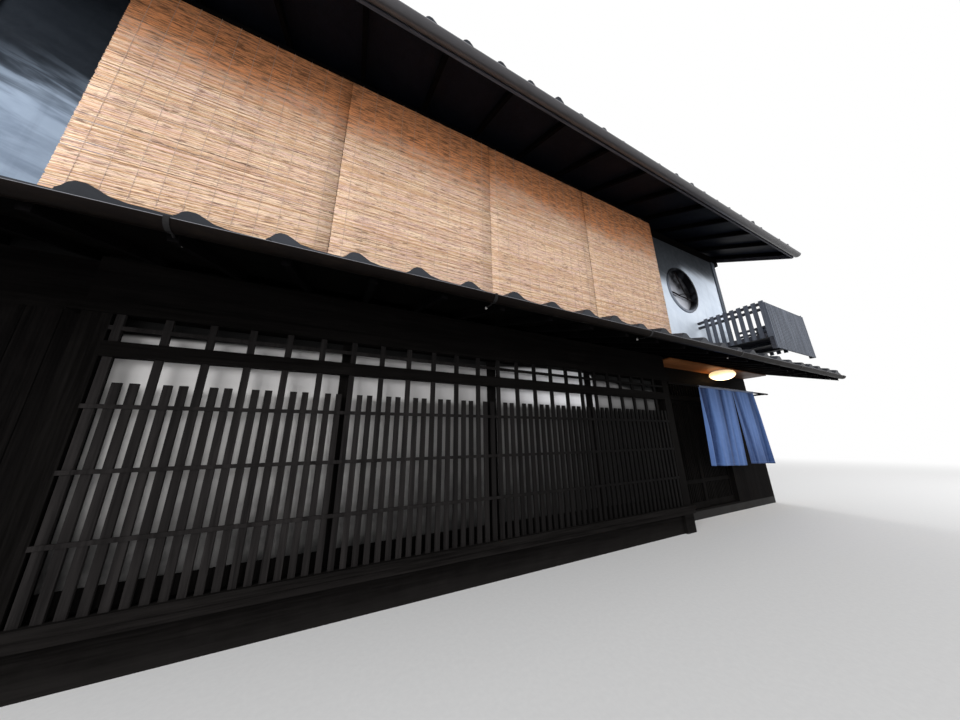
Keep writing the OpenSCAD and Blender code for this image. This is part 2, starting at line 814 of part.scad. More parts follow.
module eave_gutters() color(pale)
    front_and_rear()
        gutter(fascia_y - gutter_r - seat, roof_z(eave_y) + rafter_v - gutter_drop, gutter_r);

module blind_rail() color(black_wood)
    along_x(blind_x, blinds_end, sloped(blind_y - blind_t, blind_y + blind_t, blind_top, blind_top,
        roof_z(blind_y + blind_t), roof_z(blind_y - blind_t)));

module reed_blinds() color(reed)
    for (i = [0 : blinds - 1])
        span([blind_x + i * blind_pitch, blind_y - blind_t / 2, blind_z],
             [blind_x + (i + 1) * blind_pitch - blind_gap, blind_y + blind_t / 2, blind_top]);

// Sliding sash frames of one window opening, by turns on two tracks that go towards y1
module sash_row(x0, x1, y, y1, z, h, count) {
    step = (x1 - x0) / count;
    way = sign(y1 - y);
    for (i = [0 : count - 1]) {
        left = x0 + i * step - (i == 0 ? 0 : sash_w / 2);
        right = x0 + (i + 1) * step + (i == count - 1 ? 0 : sash_w / 2);
        near = min(y, y + way * sash_t) + way * (i % 2) * sash_track;
        difference() {
            span([left, near, z], [right, near + sash_t, z + h]);
            span([left + sash_w, near - 1, z + sash_w], [right - sash_w, near + sash_t + 1, z + h - sash_w]);
        }
    }
}

module window_sashes() color(black_wood) {
    sash_row(window_x, window_end, front_y + sash_gap, front_in, window_z, window_h, sashes);
    for (s = [-1, 1]) {
        x = s * rear_window_x - rear_window_w / 2;
        for (row = [[window_z, window_h], [rear_low_z, rear_low_h]])
            sash_row(x, x + rear_window_w, rear_y - sash_gap, rear_in, row[0], row[1], rear_sashes);
    }
}

// Glass sheet of one window opening, behind both tracks
module glass_row(x0, x1, y, z, h)
    span([x0, y, z], [x1, y + glass_t, z + h]);

module window_glass() color(glass_tint) {
    behind = sash_gap + sash_track + sash_t;
    glass_row(window_x, window_end, front_y + behind, window_z, window_h);
    for (s = [-1, 1]) {
        x = s * rear_window_x - rear_window_w / 2;
        for (row = [[window_z, window_h], [rear_low_z, rear_low_h]])
            glass_row(x, x + rear_window_w, rear_y - behind - glass_t, row[0], row[1]);
    }
}

// Places its children on the round window's axis, with their Z towards the street
module at_round_window() {
    translate([round_cx, front_y, round_z])
        rotate([90, 0, 0])
            children();
}

module round_window_ring() color(black_wood)
    at_round_window()
        rotate_extrude($fn = 96)
            polygon([
                [round_r - liner_t, -wall_t], [round_r - seat, -wall_t], [round_r - seat, 0],
                [round_r + ring_w, 0], [round_r + ring_w * 0.8, ring_proud], [round_r - liner_t, ring_proud]
            ]);

// Branches of the round window: the turn of each, then its distance from the centre, its start and
// its end as shares of the radius
module round_window_branches() color([0.3, 0.22, 0.15])
    at_round_window()
        translate([0, 0, -wall_t / 2])
            intersection() {
                cylinder(h = 4 * branch_r, r = pane_r, center = true, $fn = 96);
                union()
                    for (b = [[-6, -0.26, -1, 1], [-38, -0.5, -1, -0.1], [14, -0.18, -0.2, 1],
                              [-62, 0.42, -1, 0.62]])
                        rotate([0, 0, b[0]])
                            translate([b[2] * pane_r, b[1] * pane_r, 0])
                                rotate([0, 90, 0])
                                    cylinder(h = (b[3] - b[2]) * pane_r, r = branch_r, $fn = 24);
            }

module round_window_pane() color(pale)
    at_round_window()
        translate([0, 0, -wall_t])
            cylinder(h = screen_t, r = pane_r, $fn = 96);

module corner_boards() color(black_wood) {
    foot = pent_z(front_y) + pent_rafter_v + pent_deck_v + tile_t + tile_wave + corner_gap;
    for (x = [-half, half - corner_w])
        span([x, front_y - corner_t, foot], [x + corner_w, front_y, plate_z]);
}

module balcony_frame() color(black_wood) {
    for (x = [balcony_x, balcony_end - balcony_post])
        span([x, balcony_y, balcony_foot_z], [x + balcony_post, balcony_y + balcony_post, balcony_top_z]);
    last = half - corner_w - balcony_post;
    for (x = [balcony_x, (balcony_x + last) / 2, last])
        span([x, balcony_y + balcony_post, bearer_z], [x + balcony_post, front_y, bearer_z + balcony_post]);
    span([balcony_x, balcony_y, bearer_z], [balcony_end, balcony_y + balcony_post, bearer_z + balcony_post]);
    for (top = [balcony_top_z, balcony_top_z - balcony_rail_step]) {
        z = top - balcony_rail;
        span([balcony_x, balcony_y, z], [balcony_end, balcony_y + balcony_post, top]);
        span([balcony_x, balcony_y, z], [balcony_x + balcony_post, front_y, top]);
        span([balcony_end - balcony_post, balcony_y, z], [balcony_end, balcony_back, top]);
    }
}

module balcony_deck() color(black_wood)
    span([balcony_x, balcony_y + balcony_post, bearer_z + balcony_post],
         [balcony_end, balcony_back, bearer_z + balcony_post + balcony_floor_t]);

module balcony_slats() color(black_wood) {
    step = (balcony_w - front_slat_w) / (front_slats - 1);
    for (i = [0 : front_slats - 1])
        span([balcony_x + i * step, balcony_y - picket_t, balcony_foot_z],
             [balcony_x + i * step + front_slat_w, balcony_y, balcony_top_z - balcony_rail / 2]);
    side_step = (balcony_reach - picket_w - corner_t) / pickets;
    for (i = [0 : pickets - 1])
        for (x = [balcony_x - picket_t, balcony_end])
            span([x, balcony_y + i * side_step, bearer_z],
                 [x + picket_t, balcony_y + i * side_step + picket_w, balcony_top_z + picket_up]);
}

footing();
ground_floor();
floor_joists();
floor_boards();
party_walls();
rear_wall();
front_posts();
boarded_walls();
lintel_beam();
front_wall_upper();
round_window_wall();
roof_beams();
bay_base();
bay_sill();
bay_posts();
bay_head_rail();
bay_top_beam();
bay_cheeks();
bay_lattice();
transom_grid();
screen_frames();
screen_panels();
entrance_frame();
entrance_ceiling();
door_leaf_left();
door_leaf_right();
leaf_glass_left();
leaf_glass_right();
noren_rod();
noren();
lamp_base();
lamp_shade();
pent_rafters();
pent_boards();
pent_tiles();
pent_gutter();
roof_rafters();
roof_boards();
roof_tiles();
ridge_course();
barge_boards();
eave_gutters();
blind_rail();
reed_blinds();
window_sashes();
window_glass();
round_window_ring();
round_window_branches();
round_window_pane();
corner_boards();
balcony_frame();
balcony_deck();
balcony_slats();
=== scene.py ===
"""Looks of a two-storey wooden townhouse, built round its packed structure.

The street side of the house faces -Y, X runs along the street and Z = 0 is the ground.
Lengths are in metres and angles in degrees, unless a comment says otherwise.
"""

import json
import logging
import math
import random
from dataclasses import dataclass, field
from enum import Enum
from typing import Callable, Optional, Sequence

import bmesh
import bpy
from mathutils import Matrix, Vector, noise
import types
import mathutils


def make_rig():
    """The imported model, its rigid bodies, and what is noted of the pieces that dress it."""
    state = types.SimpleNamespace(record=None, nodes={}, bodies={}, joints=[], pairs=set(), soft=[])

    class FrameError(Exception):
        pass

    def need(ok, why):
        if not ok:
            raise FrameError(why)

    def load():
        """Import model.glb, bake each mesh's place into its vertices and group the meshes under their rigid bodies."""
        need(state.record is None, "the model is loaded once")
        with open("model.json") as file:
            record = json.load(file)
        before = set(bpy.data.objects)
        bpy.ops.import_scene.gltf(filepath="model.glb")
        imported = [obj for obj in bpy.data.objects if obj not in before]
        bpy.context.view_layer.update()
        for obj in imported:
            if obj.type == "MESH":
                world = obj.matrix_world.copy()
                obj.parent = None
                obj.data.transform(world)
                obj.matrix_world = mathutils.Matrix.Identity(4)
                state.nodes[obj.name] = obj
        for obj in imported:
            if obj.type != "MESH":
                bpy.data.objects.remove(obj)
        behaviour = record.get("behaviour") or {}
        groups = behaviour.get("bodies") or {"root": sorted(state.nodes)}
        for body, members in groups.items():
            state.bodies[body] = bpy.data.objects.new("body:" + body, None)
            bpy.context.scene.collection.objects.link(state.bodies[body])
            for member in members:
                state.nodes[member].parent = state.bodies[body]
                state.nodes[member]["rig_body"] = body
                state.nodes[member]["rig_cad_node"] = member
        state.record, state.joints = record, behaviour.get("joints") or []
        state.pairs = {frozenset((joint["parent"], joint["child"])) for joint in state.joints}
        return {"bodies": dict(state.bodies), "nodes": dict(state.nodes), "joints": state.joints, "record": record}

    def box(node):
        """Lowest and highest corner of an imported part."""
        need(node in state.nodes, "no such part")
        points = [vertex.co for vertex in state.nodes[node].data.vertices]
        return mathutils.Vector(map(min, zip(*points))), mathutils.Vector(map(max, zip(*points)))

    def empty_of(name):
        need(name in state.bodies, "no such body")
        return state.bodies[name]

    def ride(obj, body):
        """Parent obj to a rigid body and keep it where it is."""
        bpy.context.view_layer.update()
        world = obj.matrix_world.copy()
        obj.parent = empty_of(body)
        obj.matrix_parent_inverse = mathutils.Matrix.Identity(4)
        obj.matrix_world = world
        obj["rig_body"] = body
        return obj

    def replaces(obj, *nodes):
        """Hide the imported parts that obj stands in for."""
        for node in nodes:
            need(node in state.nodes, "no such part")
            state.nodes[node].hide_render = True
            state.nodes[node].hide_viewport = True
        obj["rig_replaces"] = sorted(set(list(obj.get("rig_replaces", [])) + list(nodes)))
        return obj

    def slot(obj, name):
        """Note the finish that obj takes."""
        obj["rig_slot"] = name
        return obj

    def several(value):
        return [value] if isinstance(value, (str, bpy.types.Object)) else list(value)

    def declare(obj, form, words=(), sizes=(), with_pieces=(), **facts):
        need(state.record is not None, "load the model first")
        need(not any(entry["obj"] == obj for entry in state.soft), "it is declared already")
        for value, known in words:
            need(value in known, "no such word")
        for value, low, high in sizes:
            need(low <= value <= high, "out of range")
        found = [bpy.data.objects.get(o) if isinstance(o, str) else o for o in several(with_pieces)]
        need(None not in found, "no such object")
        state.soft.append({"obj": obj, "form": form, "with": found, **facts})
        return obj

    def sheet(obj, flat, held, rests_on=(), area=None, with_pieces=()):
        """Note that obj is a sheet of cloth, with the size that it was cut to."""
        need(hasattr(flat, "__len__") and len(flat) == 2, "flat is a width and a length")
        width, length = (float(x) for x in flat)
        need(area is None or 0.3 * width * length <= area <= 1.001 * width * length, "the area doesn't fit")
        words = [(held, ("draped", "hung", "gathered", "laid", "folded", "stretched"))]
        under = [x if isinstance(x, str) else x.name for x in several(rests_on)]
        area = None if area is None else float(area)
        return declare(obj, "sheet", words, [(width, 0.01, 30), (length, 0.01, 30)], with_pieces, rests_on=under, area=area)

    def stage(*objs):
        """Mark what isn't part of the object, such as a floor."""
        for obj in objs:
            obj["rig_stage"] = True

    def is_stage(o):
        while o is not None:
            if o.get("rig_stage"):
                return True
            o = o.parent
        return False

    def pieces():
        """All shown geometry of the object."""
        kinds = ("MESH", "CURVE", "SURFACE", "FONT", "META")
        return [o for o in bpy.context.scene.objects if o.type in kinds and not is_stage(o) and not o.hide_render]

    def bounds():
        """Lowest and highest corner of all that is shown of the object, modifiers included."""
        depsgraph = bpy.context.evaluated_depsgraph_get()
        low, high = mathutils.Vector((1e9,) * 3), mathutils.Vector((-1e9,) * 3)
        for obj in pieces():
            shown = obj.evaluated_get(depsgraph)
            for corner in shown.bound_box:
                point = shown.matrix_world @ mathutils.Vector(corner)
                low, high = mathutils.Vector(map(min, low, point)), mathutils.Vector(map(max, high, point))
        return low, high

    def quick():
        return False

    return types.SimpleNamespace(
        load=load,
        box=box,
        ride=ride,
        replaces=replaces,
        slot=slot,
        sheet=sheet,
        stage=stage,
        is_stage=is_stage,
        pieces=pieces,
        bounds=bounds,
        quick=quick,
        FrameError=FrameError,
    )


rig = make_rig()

LOG = logging.getLogger("townhouse")
SIZE_FILE = "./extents.json"
HOUSE = "house"

Triple = tuple[float, float, float]
Colour = Triple
Place = Sequence[float]

ZERO = (0.0, 0.0, 0.0)
UP = Vector((0.0, 0.0, 1.0))
SHADOW = (0.003, 0.003, 0.003)


class Grain(Enum):
    """Direction of the wood's fibres, as the turn that lays it along X, in degrees."""

    ALONG_X = (0.0, 0.0, 0.0)
    ALONG_Y = (0.0, 0.0, 90.0)
    ALONG_Z = (0.0, 90.0, 0.0)


class Slope(Enum):
    """Side of the house that a roof slope falls to, as a turn about Z."""

    STREET = 0.0
    REAR = 180.0


def arithmetic(operation: str, swapped: bool = False) -> Callable[["Value", object], "Value"]:
    """A method that makes the node of one operation on two numbers, in their order or swapped."""

    def method(self: "Value", other: object) -> "Value":
        """Result of the operation."""
        return self.tree.maths(operation, *((other, self) if swapped else (self, other)))

    return method


class Value:
    """What a node puts out. Plain arithmetic on it makes the nodes that work it out."""

    __add__, __radd__ = arithmetic("ADD"), arithmetic("ADD", swapped=True)
    __sub__, __rsub__ = arithmetic("SUBTRACT"), arithmetic("SUBTRACT", swapped=True)
    __mul__, __truediv__ = arithmetic("MULTIPLY"), arithmetic("DIVIDE")
    __pow__, __lt__ = arithmetic("POWER"), arithmetic("LESS_THAN")

    def __init__(self, tree: "Tree", socket: bpy.types.NodeSocket) -> None:
        """Keeps the socket and the tree that it is in."""
        self.tree, self.socket = tree, socket

    def __abs__(self) -> "Value":
        """The number without its sign."""
        return self.tree.maths("ABSOLUTE", self)


class Tree:
    """A node tree with short calls that make, set and link its nodes."""

    def __init__(self, tree: bpy.types.NodeTree) -> None:
        """Keeps the tree that the nodes go into."""
        self.tree = tree

    def node(self, kind: str, inputs: Optional[dict] = None, **settings: object) -> bpy.types.Node:
        """Makes a node.

        Args:
            kind: Blender's name of the node's type.
            inputs: A plain value, or a Value to link, for each input's name or number.
            settings: Values of the node's own properties.

        Returns:
            The node.
        """
        node = self.tree.nodes.new(kind)
        for name, value in settings.items():
            setattr(node, name, value)
        for key, value in (inputs or {}).items():
            self.feed(node.inputs[key], value)
        return node

    def value(self, kind: str, inputs: Optional[dict] = None, output: object = 0,
              **settings: object) -> Value:
        """One output of a new node, by its name or number."""
        return Value(self, self.node(kind, inputs, **settings).outputs[output])

    def values(self, kind: str, inputs: Optional[dict] = None, **settings: object) -> dict[str, Value]:
        """Every output of a new node, by name."""
        return {s.name: Value(self, s) for s in self.node(kind, inputs, **settings).outputs}

    def feed(self, socket: bpy.types.NodeSocket, value: object) -> None:
        """Links a socket to a Value, or sets the socket's own value."""
        if isinstance(value, Value):
            self.tree.links.new(value.socket, socket)
        elif socket.type == "RGBA" and len(value) == 3:
            socket.default_value = (*value, 1.0)
        else:
            socket.default_value = value

    def maths(self, operation: str, *values: object) -> Value:
        """Result of one operation on numbers."""
        return self.value("ShaderNodeMath", dict(enumerate(values)), operation=operation)

    def vector(self, operation: str, *values: object) -> Value:
        """Result of one operation on vectors."""
        return self.value("ShaderNodeVectorMath", dict(enumerate(values)), operation=operation)

    def fit(self, value: object, low: object, high: object, to_low: float = 0.0,
            to_high: float = 1.0) -> Value:
        """Value carried smoothly from one range to another, and held at its ends."""
        return self.value("ShaderNodeMapRange", {0: value, 1: low, 2: high, 3: to_low, 4: to_high},
                          interpolation_type="SMOOTHSTEP")

    def cloud(self, vector: object, scale: object, detail: float = 3.0, roughness: float = 0.55,
              distortion: float = 0.0) -> Value:
        """Soft random value that changes over space."""
        return self.value("ShaderNodeTexNoise", {
            "Vector": vector, "Scale": scale, "Detail": detail, "Roughness": roughness,
            "Distortion": distortion}, "Fac")

    def blend(self, factor: object, first: object, second: object) -> Value:
        """Colour between two colours."""
        return self.value("ShaderNodeMix", {0: factor, 6: first, 7: second}, 2, data_type="RGBA")

    def parts(self, vector: object) -> list[Value]:
        """X, Y and Z of a vector."""
        return list(self.values("ShaderNodeSeparateXYZ", {0: vector}).values())

    def from_axis(self, vector: object) -> Value:
        """Distance of a place from the Z axis."""
        x, y, _ = self.parts(vector)
        return self.maths("SQRT", x * x + y * y)


class Effect(Tree):
    """A shader node group: an effect that several materials share."""

    made: dict[str, "Effect"] = {}

    def __init__(self, name: str, **inputs: object) -> None:
        """Makes an empty group.

        Args:
            name: Name of the group.
            inputs: Start value of each input: a number, or three for a vector.
        """
        super().__init__(bpy.data.node_groups.new(name, "ShaderNodeTree"))
        for label, value in inputs.items():
            kind = "NodeSocketVector" if isinstance(value, tuple) else "NodeSocketFloat"
            self.tree.interface.new_socket(label, in_out="INPUT", socket_type=kind).default_value = value
        self.inputs = self.values("NodeGroupInput")
        Effect.made[name] = self

    def give(self, **results: Value) -> None:
        """Makes the group's outputs, all numbers, and links them."""
        for label in results:
            self.tree.interface.new_socket(label, in_out="OUTPUT", socket_type="NodeSocketFloat")
        self.node("NodeGroupOutput", results)


class Material(Tree):
    """A material under construction, with its Principled shader and Object coordinates."""

    def __init__(self, name: str) -> None:
        """Makes the material."""
        self.material = bpy.data.materials.new(name)
        self.material.use_nodes = True
        super().__init__(self.material.node_tree)
        self.tree.nodes.clear()
        self.shader = self.node("ShaderNodeBsdfPrincipled")
        self.lit = Value(self, self.shader.outputs[0])
        self.surface = self.node("ShaderNodeOutputMaterial", {"Surface": self.lit}).inputs["Surface"]
        self.place = self.value("ShaderNodeTexCoord", output="Object")

    def set(self, **inputs: object) -> None:
        """Links or sets inputs of the shader, with _ for each space in a name."""
        for label, value in inputs.items():
            self.feed(self.shader.inputs[label.replace("_", " ")], value)

    def effect(self, name: str, **inputs: object) -> dict[str, Value]:
        """Places a shared effect and returns its outputs."""
        return self.values("ShaderNodeGroup", inputs, node_tree=Effect.made[name].tree)

    def mottle(self, scale: float, low: float, high: float, vector: Optional[Value] = None) -> Value:
        """Soft-edged patches over the object, or over a vector of its own."""
        return self.effect("mottle", Vector=vector or self.place, Scale=scale, Low=low, High=high)["Mask"]

    def axis(self, number: int) -> Value:
        """One Object coordinate: 0 for X, 1 for Y and 2 for Z."""
        return self.parts(self.place)[number]

    def carried(self, name: str) -> Value:
        """A number that the mesh carries for each of its points."""
        return self.value("ShaderNodeAttribute", output="Fac", attribute_name=name)

    def turned(self, turn: Triple) -> Value:
        """Object coordinates, turned by an angle about each axis."""
        return self.value("ShaderNodeMapping", {
            "Vector": self.place, "Rotation": tuple(math.radians(a) for a in turn)})

    def stretched(self, vector: Value, *scale: float) -> Value:
        """A vector with its own scale along each axis."""
        return self.value("ShaderNodeMapping", {"Vector": vector, "Scale": scale})

    def bump(self, height: Value, depth: float, strength: float) -> None:
        """Feeds the shader's normal with a height, whose full range is depth in metres."""
        self.set(Normal=self.value("ShaderNodeBump", {
            "Height": height, "Distance": depth, "Strength": strength}))


def make_effects() -> None:
    """Builds the shader groups that the finishes share."""
    grain = Effect("wood_grain", Vector=ZERO, Fineness=60.0, Stretch=0.04)
    scale = grain.value("ShaderNodeCombineXYZ", {0: grain.inputs["Stretch"], 1: 1.0, 2: 1.0})
    stretched = grain.vector("MULTIPLY", grain.inputs["Vector"], scale)
    fine = grain.cloud(stretched, grain.inputs["Fineness"], 4.0, 0.65, 0.4)
    broad = grain.cloud(stretched, 9.0, 2.0, 0.5, 1.2)
    grain.give(Tone=grain.fit(fine * 0.6 + broad * 0.4, 0.3, 0.7), Height=fine)

    mottle = Effect("mottle", Vector=ZERO, Scale=2.0, Low=0.4, High=0.6)
    given = mottle.inputs
    cloud = mottle.cloud(given["Vector"], given["Scale"], 5.0, 0.6, 0.3)
    mottle.give(Mask=mottle.fit(cloud, given["Low"], given["High"]))

    boards = Effect("boards", Across=0.0, Pitch=0.2, Joint=0.004)
    given = boards.inputs
    count = given["Across"] / given["Pitch"]
    tone = boards.value("ShaderNodeTexWhiteNoise", {"W": boards.maths("FLOOR", count)}, "Value",
                        noise_dimensions="1D")
    edge = (0.5 - abs(boards.maths("FRACT", count) - 0.5)) * given["Pitch"]
    boards.give(Tone=tone, Groove=edge < given["Joint"] * 0.5)

    dust = Effect("dust", Vector=ZERO, Top=0.6)
    place = dust.inputs["Vector"]
    low = 1.0 - dust.parts(place)[2] / dust.inputs["Top"]
    dust.give(Mask=dust.fit(low + dust.cloud(place, 6.0, 5.0, 0.6) * 0.8, 0.35, 1.5))


def shade(colour: Colour, share: float) -> Colour:
    """A share of a colour."""
    return tuple(c * share for c in colour)


@dataclass(frozen=True)
class Finish:
    """Look of one material, and the structure's own pieces that it lies on, their names divided by spaces."""

    name: str
    on: str = field(default="", kw_only=True)

    def material(self) -> bpy.types.Material:
        """The finish as a new material."""
        work = Material(self.name)
        self.paint(work)
        return work.material

    def paint(self, work: Material) -> None:
        """Makes the nodes of the material under construction."""
        raise NotImplementedError


@dataclass(frozen=True)
class Timber(Finish):
    """Stained or planed wood, with its grain, its dust and a tone for each board.

    From one X to another the wood is painted darker, as shade, by a share: the last field holds the two places and the
    share.
    """

    dark: Colour
    light: Colour
    grain: Grain = Grain.ALONG_X
    board: float = 0.0
    joint: float = 0.0
    across: int = 0
    roughness: float = 0.6
    gloss: float = 0.008
    worn: Colour = (0.016, 0.0145, 0.0135)
    dust_and_shade: float = 0.2
    painted_shade: Optional[Triple] = None
    DUST = (0.030, 0.028, 0.027)
    DUST_TOP = 0.2
    GRAIN_DEPTH = 0.0012

    def paint(self, work: Material) -> None:
        """Grain, boards, rubbed places, painted shade along X, and dust."""
        grain = work.effect("wood_grain", Vector=work.turned(self.grain.value))
        colour = work.blend(grain["Tone"], self.dark, self.light)
        height = grain["Height"]
        if self.board:
            boards = work.effect("boards", Across=work.axis(self.across), Pitch=self.board, Joint=self.joint)
            colour = work.blend(work.fit(boards["Tone"], 0.0, 1.0, 0.0, 0.45), colour, self.dark)
            if self.joint:
                colour = work.blend(boards["Groove"], colour, shade(self.dark, 0.25))
                height = height - boards["Groove"] * 3.0
        rubbed = work.mottle(2.5, 0.48, 0.78)
        colour = work.blend(rubbed * grain["Tone"] * 0.22, colour, self.worn)
        # Painted shade: the wood darkens from one X to another.
        if self.painted_shade:
            start, end, share = self.painted_shade
            colour = work.blend(work.fit(work.axis(0), start, end, 0.0, share), colour, shade(self.dark, 0.3))
        dust_and_shade = work.effect("dust", Vector=work.place, Top=self.DUST_TOP)["Mask"]
        work.set(Base_Color=work.blend(dust_and_shade * self.dust_and_shade, colour, self.DUST), Specular_IOR_Level=self.gloss,
                 Roughness=self.roughness + rubbed * 0.15 + dust_and_shade * 0.15)
        work.bump(height, self.GRAIN_DEPTH, 0.6)


@dataclass(frozen=True)
class Plaster(Finish):
    """Trowelled lime plaster, with slanting strokes and rain streaks, and painted shade under the eaves and at its
    foot.

    The painted eave shade hangs lower at one X than at another: sag holds the two places and how much lower.
    """

    dark: Colour
    light: Colour
    eave_shade_low: float
    eave_shade_high: float
    eave_shade: float = 0.97
    stroke: float = 0.6
    # Below this height the plaster is painted black, as the shade under the pent roof.
    foot: float = 2.96
    ragged: float = 0.10
    sag: Triple = (0.0, 1.0, 0.0)
    SLANT = -22.0
    FOOT_BAND = 0.06
    TROWEL_DEPTH = 0.004

    def paint(self, work: Material) -> None:
        """Patches and strokes, then streaks, and the painted shade of the eaves and of the foot over them."""
        broad, small = work.mottle(0.8, 0.35, 0.7), work.mottle(5.0, 0.3, 0.75)
        streak = work.mottle(1.0, 0.5, 0.8, work.stretched(work.place, 6.0, 6.0, 0.5))
        slanted = work.turned((0.0, self.SLANT, 0.0))
        stroke = work.fit(work.cloud(work.stretched(slanted, 0.9, 2.0, 7.0), 1.4, 4.0, 0.5, 0.5), 0.32, 0.68)
        colour = work.blend(broad * 0.3 + small * 0.15 + stroke * self.stroke, self.dark, self.light)
        colour = work.blend(streak * 0.25, colour, shade(self.dark, 0.6))
        # Painted shade: darker towards the eaves, its ragged edge lower at one X, and black below the pent roof.
        x, _, z = work.parts(work.place)
        start, end, lower = self.sag
        high = z + work.fit(stroke, 0.0, 1.0, self.ragged, -self.ragged) + work.fit(x, start, end, 0.0, lower)
        clear = work.fit(high, self.eave_shade_low, self.eave_shade_high, 1.0, 0.0) ** 2.5
        colour = work.blend(work.fit(clear, 1.0, 0.0, 0.0, self.eave_shade), colour, shade(self.dark, 0.05))
        colour = work.blend(work.fit(z, self.foot, self.foot - self.FOOT_BAND), colour, SHADOW)
        sweep = work.cloud(slanted, 9.0, 4.0, 0.5, 0.4)
        work.set(Base_Color=colour, Roughness=work.fit(sweep, 0.3, 0.7, 0.6, 0.85), Specular_IOR_Level=0.1)
        work.bump(sweep + work.cloud(work.place, 160.0, 2.0) * 0.25, self.TROWEL_DEPTH, 0.6)


@dataclass(frozen=True)
class Stone(Finish):
    """Dressed stone with a fine speckle."""

    dark: Colour
    light: Colour

    def paint(self, work: Material) -> None:
        """Speckle over broad patches."""
        speckle, broad = work.cloud(work.place, 120.0, 3.0, 0.7), work.cloud(work.place, 3.0)
        tone = work.fit(speckle + broad * 0.6, 0.55, 1.05)
        work.set(Base_Color=work.blend(tone, self.dark, self.light), Specular_IOR_Level=0.3,
                 Roughness=work.fit(broad, 0.3, 0.7, 0.7, 0.9))
        work.bump(speckle, 0.002, 0.6)


@dataclass(frozen=True)
class SmokedTile(Finish):
    """Smoked clay tile, silvery where the smoke lies thick, each tile a little different."""

    dark: Colour
    light: Colour

    def paint(self, work: Material) -> None:
        """The tile's own tint, and patches of smoke."""
        patch = work.mottle(3.0, 0.35, 0.7)
        tone = work.carried("tint") * 0.65 + patch * 0.35
        work.set(Base_Color=work.blend(tone, self.dark, self.light), Metallic=0.1, Specular_IOR_Level=0.3,
                 Roughness=work.fit(patch, 0.0, 1.0, 0.42, 0.6))
        work.bump(work.cloud(work.place, 90.0), 0.0012, 0.5)


@dataclass(frozen=True)
class Reed(Finish):
    """Dried reeds in short stretches of cream, pink-grey and gold, red-brown towards the sheltered top.

    CLOUDS holds, for each of its clouds, the stretch along the street and up, the scale, detail and roughness.
    """

    cream: Colour
    pink: Colour
    gold: Colour
    brown: Colour
    sheltered: Colour
    SHELTER_LOW, SHELTER_HIGH = 4.42, 5.25
    CLOUDS = ((7.0, 150.0, 1.0, 3.0, 0.75), (4.0, 60.0, 1.0, 2.0, 0.6), (6.5, 42.0, 1.0, 3.0, 0.7),
              (1.0, 2.4, 1.1, 4.0, 0.6))

    def paint(self, work: Material) -> None:
        """Stretches of colour along the reeds, then the deep colour of the sheltered top."""
        streak, hue, clump, patch = (
            work.cloud(work.stretched(work.place, along, along, up), *rest)
            for along, up, *rest in self.CLOUDS)
        colour = work.blend(work.fit(hue, 0.40, 0.60), self.cream, self.pink)
        golden = work.carried("tint") * 0.35 + clump * 0.65
        colour = work.blend(work.fit(golden, 0.45, 0.62, 0.0, 0.75), colour, self.gold)
        colour = work.blend(work.fit(streak, 0.50, 0.68, 0.0, 0.75), colour, self.brown)
        colour = work.blend(work.fit(clump, 0.46, 0.35, 0.0, 0.7), colour, self.brown)
        top = work.axis(2) + work.fit(patch, 0.3, 0.7, -0.16, 0.16) + work.fit(clump, 0.3, 0.7, -0.07, 0.07)
        deep = work.blend(work.fit(streak * 0.4 + clump * 0.6, 0.56, 0.42),
                          shade(self.sheltered, 1.1), shade(self.sheltered, 0.3))
        colour = work.blend(work.fit(top, self.SHELTER_LOW, self.SHELTER_HIGH, 0.0, 0.93), colour, deep)
        work.set(Base_Color=colour, Roughness=work.fit(streak, 0.3, 0.7, 0.5, 0.75), Specular_IOR_Level=0.25)
        work.bump(streak, 0.001, 0.5)


@dataclass(frozen=True)
class Cloth(Finish):
    """Woven cotton, faded in bands, with painted light along the crowns of its folds and painted shade at its foot."""

    deep: Colour
    faded: Colour
    HEM, STITCH = 0.03, 0.002
    WEAVE = 2600.0

    def paint(self, work: Material) -> None:
        """Weave, fading with painted fold light and foot shade, and stitched hem, on the piece's own UV map, which is
        in metres of the flat cloth.
        """
        flat = work.value("ShaderNodeUVMap", uv_map="flat")
        across, along, _ = work.parts(flat)
        weave = work.maths("SINE", across * self.WEAVE) * work.maths("SINE", along * self.WEAVE)
        bands = work.mottle(1.5, 0.3, 0.7, work.stretched(flat, 7.0, 0.8, 1.0))
        # Real faded bands and patches, with the painted light of the fold crowns and painted shade at the foot.
        fade_and_fold_light = bands * 0.18 + work.carried("crown") * 0.72 + work.mottle(14.0, 0.3, 0.8, flat) * 0.10
        colour = work.blend(fade_and_fold_light, self.deep, self.faded)
        stitch = abs(along - self.HEM) < self.STITCH
        work.set(Base_Color=work.blend(stitch * 0.5, colour, self.faded), Roughness=0.85,
                 Specular_IOR_Level=0.1, Sheen_Weight=0.06, Sheen_Roughness=0.5)
        work.bump(weave * 0.3 - stitch, 0.0008, 0.6)


